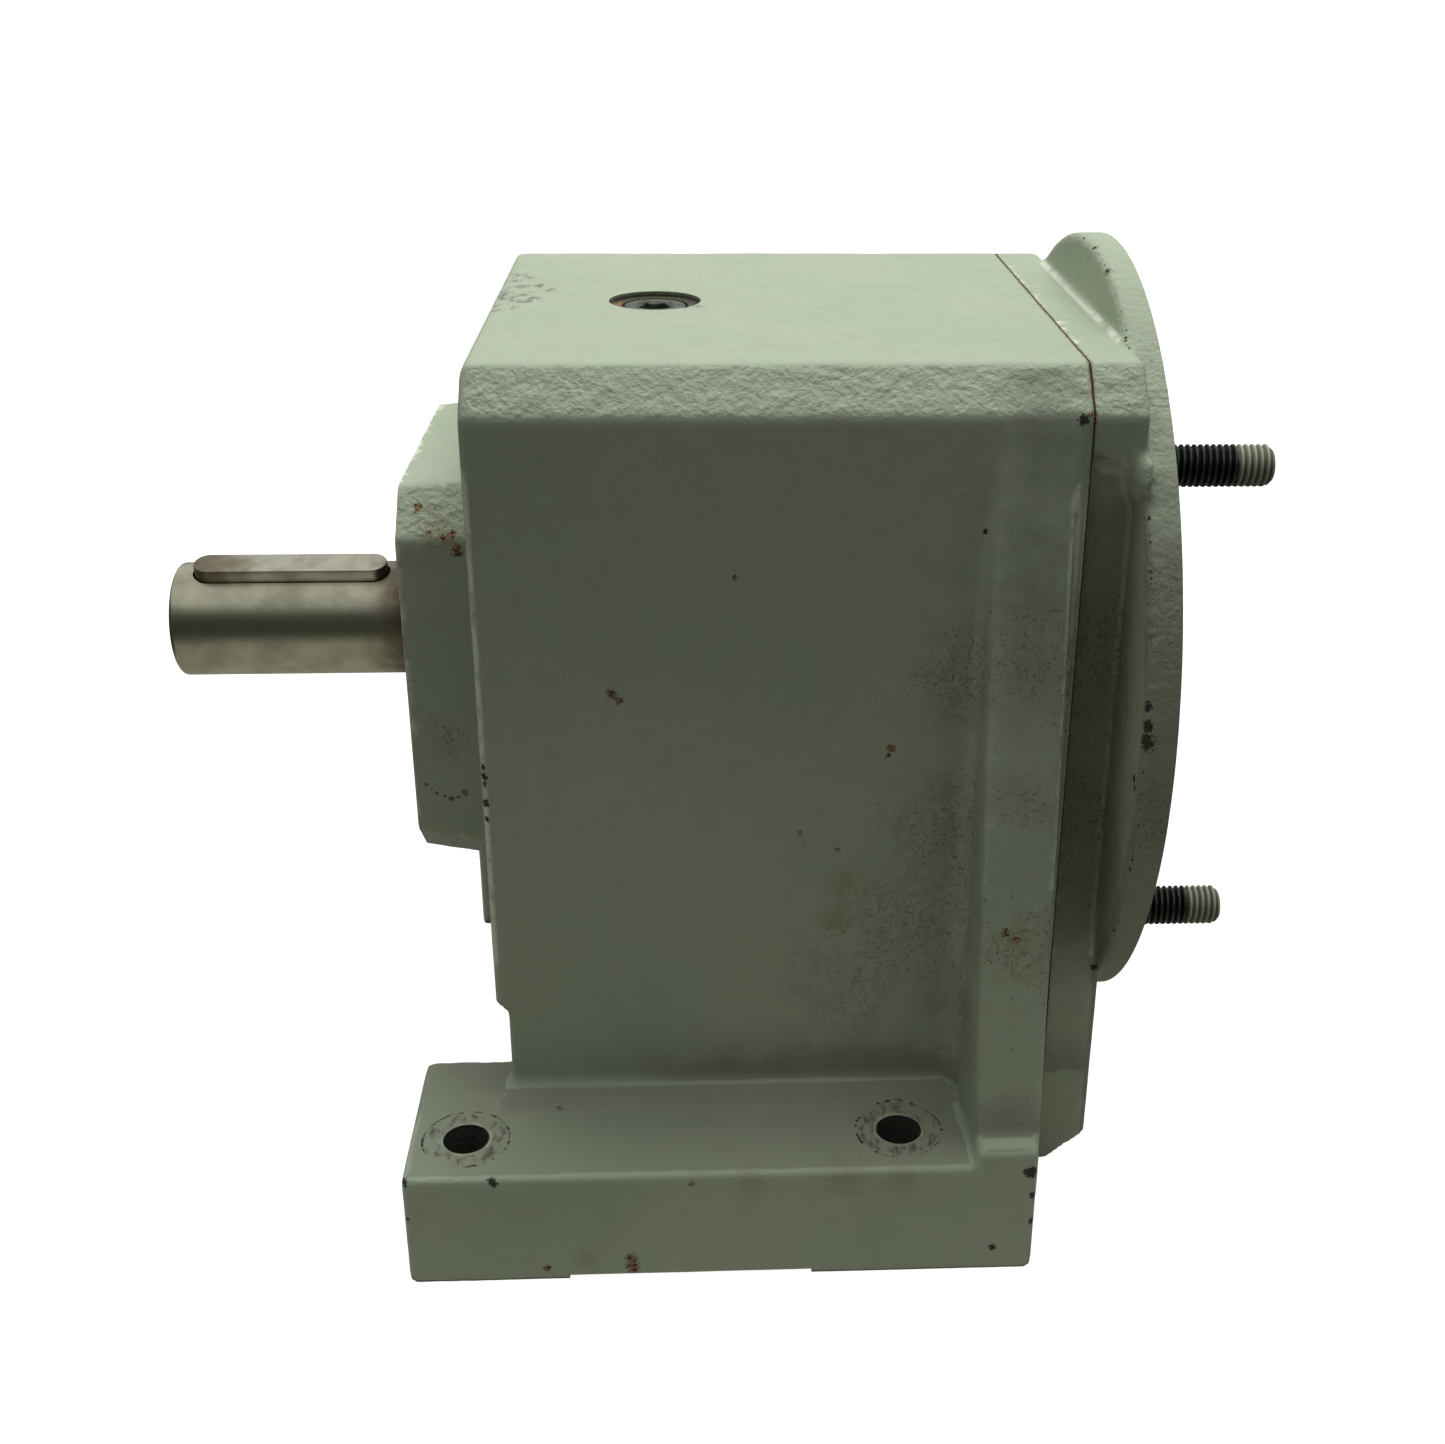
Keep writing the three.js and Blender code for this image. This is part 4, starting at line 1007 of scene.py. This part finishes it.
CAGE_BRASS = plain_material("cage_brass", (178, 148, 84), (150, 122, 66), 0.35,
                            metallic=1.0, grain_mm=2.0, bump_mm=0.03)
PLUG_METAL = plain_material("plug_steel", (104, 110, 100), (76, 80, 70), 0.45,
                            metallic=0.6, grain_mm=2.2, bump_mm=0.06)


def build_casing():
    for make, name, node in ((housing, "casing", "housing"),
                             (input_cover, "motor_side_cover", "input_cover")):
        body = make()
        casing_masks(body)
        finish_piece(body, name, "casing", PAINT, [node], 60)


def build_fasteners():
    for i, at in enumerate(STUDS, 1):
        finish_piece(threaded_stud(at), f"threaded_stud_{i}", "casing", STUD_METAL,
                     [f"motor_stud_{i}"], 60)
    for i, at in enumerate(COVER_SCREWS, 1):
        screw = low_head_screw(tip=114, under_head=seat_level(at), at=at)
        finish_piece(screw, f"cover_cap_screw_{i}", "casing", BLACK, [f"cover_screw_{i}"])
    for i, at in enumerate(PLATE_SCREWS, 1):
        screw = low_head_screw(tip=36, under_head=69, at=at)
        finish_piece(screw, f"plate_cap_screw_{i}", "casing", BLACK, [f"plate_screw_{i}"])
    for name, plug in PLUGS.items():
        finish_piece(pipe_plug(*plug), f"{name}_pipe_plug", "casing", PLUG_METAL,
                     [f"{name}_plug"])


def build_shafts():
    finish_piece(output_shaft(), "ground_output_shaft", "output_train", SHAFT_STEEL,
                 ["output_shaft"], 30)
    finish_piece(output_key(), "feather_key", "output_train", KEY_STEEL, ["output_key"], 30)


def build_bearings():
    for name, (spec, left, z, train) in bearing_specs().items():
        finish_piece(race(spec, left, z, spec["outer"], 1), f"{name}_outer_race", "casing",
                     RING_STEEL, [f"{name}_bearing_outer_ring"])
        finish_piece(race(spec, left, z, spec["bore"] + 0.05, -1), f"{name}_inner_race", train,
                     RING_STEEL, [f"{name}_bearing_inner_ring"])
        finish_piece(balls_and_cage(spec, left, z), f"{name}_ball_set", f"{name}_cage",
                     CAGE_BRASS, [f"{name}_bearing_balls"])


def build_seals():
    for end, face, depth in (("output", BOSS_FACE + 0.5, 9.5), ("input", 145.4, 5.8)):
        finish_piece(lip_seal(face, depth, 17.5, 36), f"{end}_lip_seal", "casing", SEAL_RUBBER,
                     [f"{end}_seal"])


def dress_frame_nodes():
    """The CAD nodes whose shape is right keep it and get a finish."""
    looks = (
        (GASKET_PAPER, "cover_gasket"),
        (RAW_IRON, "bearing_plate"),
        (GEAR_STEEL, "output_wheel", "first_stage_wheel", "counter_shaft", "input_shaft"),
        (RING_STEEL, "cover_dowel_1", "cover_dowel_2", "output_wheel_key", "first_stage_wheel_key",
         "output_spacer", "counter_spacer", "input_spacer"),
    )
    for material, *nodes in looks:
        for node in nodes:
            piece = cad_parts[node]
            piece.data.materials.clear()
            piece.data.materials.append(material)


# ---------- floor, lights and camera
def stage_piece(piece, name, strength, colour, base=0.0):
    """Gives a stage piece an even glow."""
    material = bpy.data.materials.new(name)
    material.use_nodes = True
    shader = material.node_tree.nodes["Principled BSDF"]
    shader.inputs["Base Color"].default_value = (base, base, base, 1)
    shader.inputs["Roughness"].default_value = 0.9
    shader.inputs["Emission Color"].default_value = (*colour, 1)
    shader.inputs["Emission Strength"].default_value = strength
    piece.data.materials.append(material)


def floor(half):
    return mesh_object("floor", [(-half, -half, 0), (half, -half, 0), (half, half, 0), (-half, half, 0)],
                       [(0, 1, 2, 3)])


def dome(radius):
    bm = bmesh.new()
    bmesh.ops.create_uvsphere(bm, u_segments=48, v_segments=24, radius=radius)
    piece = mesh_object("dome", [], [])
    bm.to_mesh(piece.data)
    bm.free()
    return piece


def table_round(left, right, side, reach, height):
    """A flat table all round the part, with none of it under the foot."""
    edges = ((-reach, left), (left, right), (right, reach))
    verts, faces = [], []
    for x0, x1 in edges:
        for y0, y1 in ((-reach, -side), (-side, side), (side, reach)):
            if (x0, y0) == (left, -side):
                continue
            faces.append(tuple(range(len(verts), len(verts) + 4)))
            verts += [(x0, y0, height), (x1, y0, height), (x1, y1, height), (x0, y1, height)]
    return mesh_object("table", verts, faces)


def backdrop():
    """A pale floor and dome that only the camera sees, and a dimmer table that lights the part from below."""
    for piece, strength, base in ((floor(half=14), 0.96, 0.3), (dome(radius=15), 0.99, 0.0)):
        stage_piece(piece, f"pale_{piece.name}", strength, (1, 1, 1), base)
        piece.visible_diffuse = piece.visible_glossy = piece.visible_shadow = False
    table = table_round(left=-0.07, right=0.1, side=0.107, reach=0.29, height=0.0004)
    stage_piece(table, "table_glow", 0.34, (1.02, 1.0, 0.87))
    table.visible_camera = table.visible_shadow = False


def area_light(name, place, target, size, power, colour):
    lamp = bpy.data.lights.new(name, "AREA")
    lamp.shape, lamp.size, lamp.energy, lamp.color = "SQUARE", size, power, colour
    light = bpy.data.objects.new(name, lamp)
    light.location = place
    light.rotation_euler = (Vector(target) - Vector(place)).to_track_quat("-Z", "Y").to_euler()
    light.visible_glossy = False
    bpy.context.scene.collection.objects.link(light)


DARKEST, BRIGHTEST = 0.04, 0.68  # the room's light from below and from above
OVERHEAD_WATTS = 24.5


def studio():
    """Light from overhead and a pale room that's dark low down, most of all on the camera's side."""
    area_light("overhead", (0.1, 0.45, 1.6), (0, 0, 0.1), 1.3, OVERHEAD_WATTS, (1.0, 1.0, 1.02))
    world = bpy.data.worlds.new("studio")
    world.use_nodes = True
    tree = world.node_tree
    back = tree.nodes["Background"]
    back.inputs["Color"].default_value = (1, 1, 1, 1)
    where = tree.nodes.new("ShaderNodeTexCoord")
    split = tree.nodes.new("ShaderNodeSeparateXYZ")
    tree.links.new(where.outputs["Generated"], split.inputs["Vector"])
    lean = tree.nodes.new("ShaderNodeMath")
    lean.operation = "MULTIPLY_ADD"
    lean.inputs[1].default_value = 0.35
    tree.links.new(split.outputs["Y"], lean.inputs[0])
    tree.links.new(split.outputs["Z"], lean.inputs[2])
    ramp = tree.nodes.new("ShaderNodeMapRange")
    ramp.interpolation_type = "SMOOTHSTEP"
    limits = {"From Min": 0.2, "From Max": 0.5, "To Min": DARKEST, "To Max": BRIGHTEST}
    for name, value in limits.items():
        ramp.inputs[name].default_value = value
    tree.links.new(lean.outputs["Value"], ramp.inputs["Value"])
    tree.links.new(ramp.outputs["Result"], back.inputs["Strength"])
    bpy.context.scene.world = world
    bpy.context.scene.view_settings.view_transform = "Standard"


def camera():
    """The photograph's viewpoint: 45 cm in front, 31 cm up, looking 24 degrees down and 3 degrees right."""
    lens = bpy.data.cameras.new("camera")
    lens.lens, lens.sensor_width = 44.135, 36.0
    lens.shift_x, lens.shift_y = -0.0406, -0.0245
    lens.clip_start = 0.01
    view = bpy.data.objects.new("camera", lens)
    yaw, pitch, roll = (math.radians(a) for a in (2.829, 23.763, 0.512))
    forward = Vector((math.sin(yaw) * math.cos(pitch), math.cos(yaw) * math.cos(pitch), -math.sin(pitch)))
    level = Vector((math.cos(yaw), -math.sin(yaw), 0))
    right = level * math.cos(roll) + level.cross(forward) * math.sin(roll)
    up = right.cross(forward)
    turned = Matrix((right, up, -forward)).transposed().to_4x4()
    view.matrix_world = Matrix.Translation((0.0030, -0.4465, 0.3071)) @ turned
    bpy.context.scene.collection.objects.link(view)
    bpy.context.scene.camera = view


build_casing()
build_fasteners()
build_shafts()
build_bearings()
build_seals()
dress_frame_nodes()
backdrop()
studio()
camera()
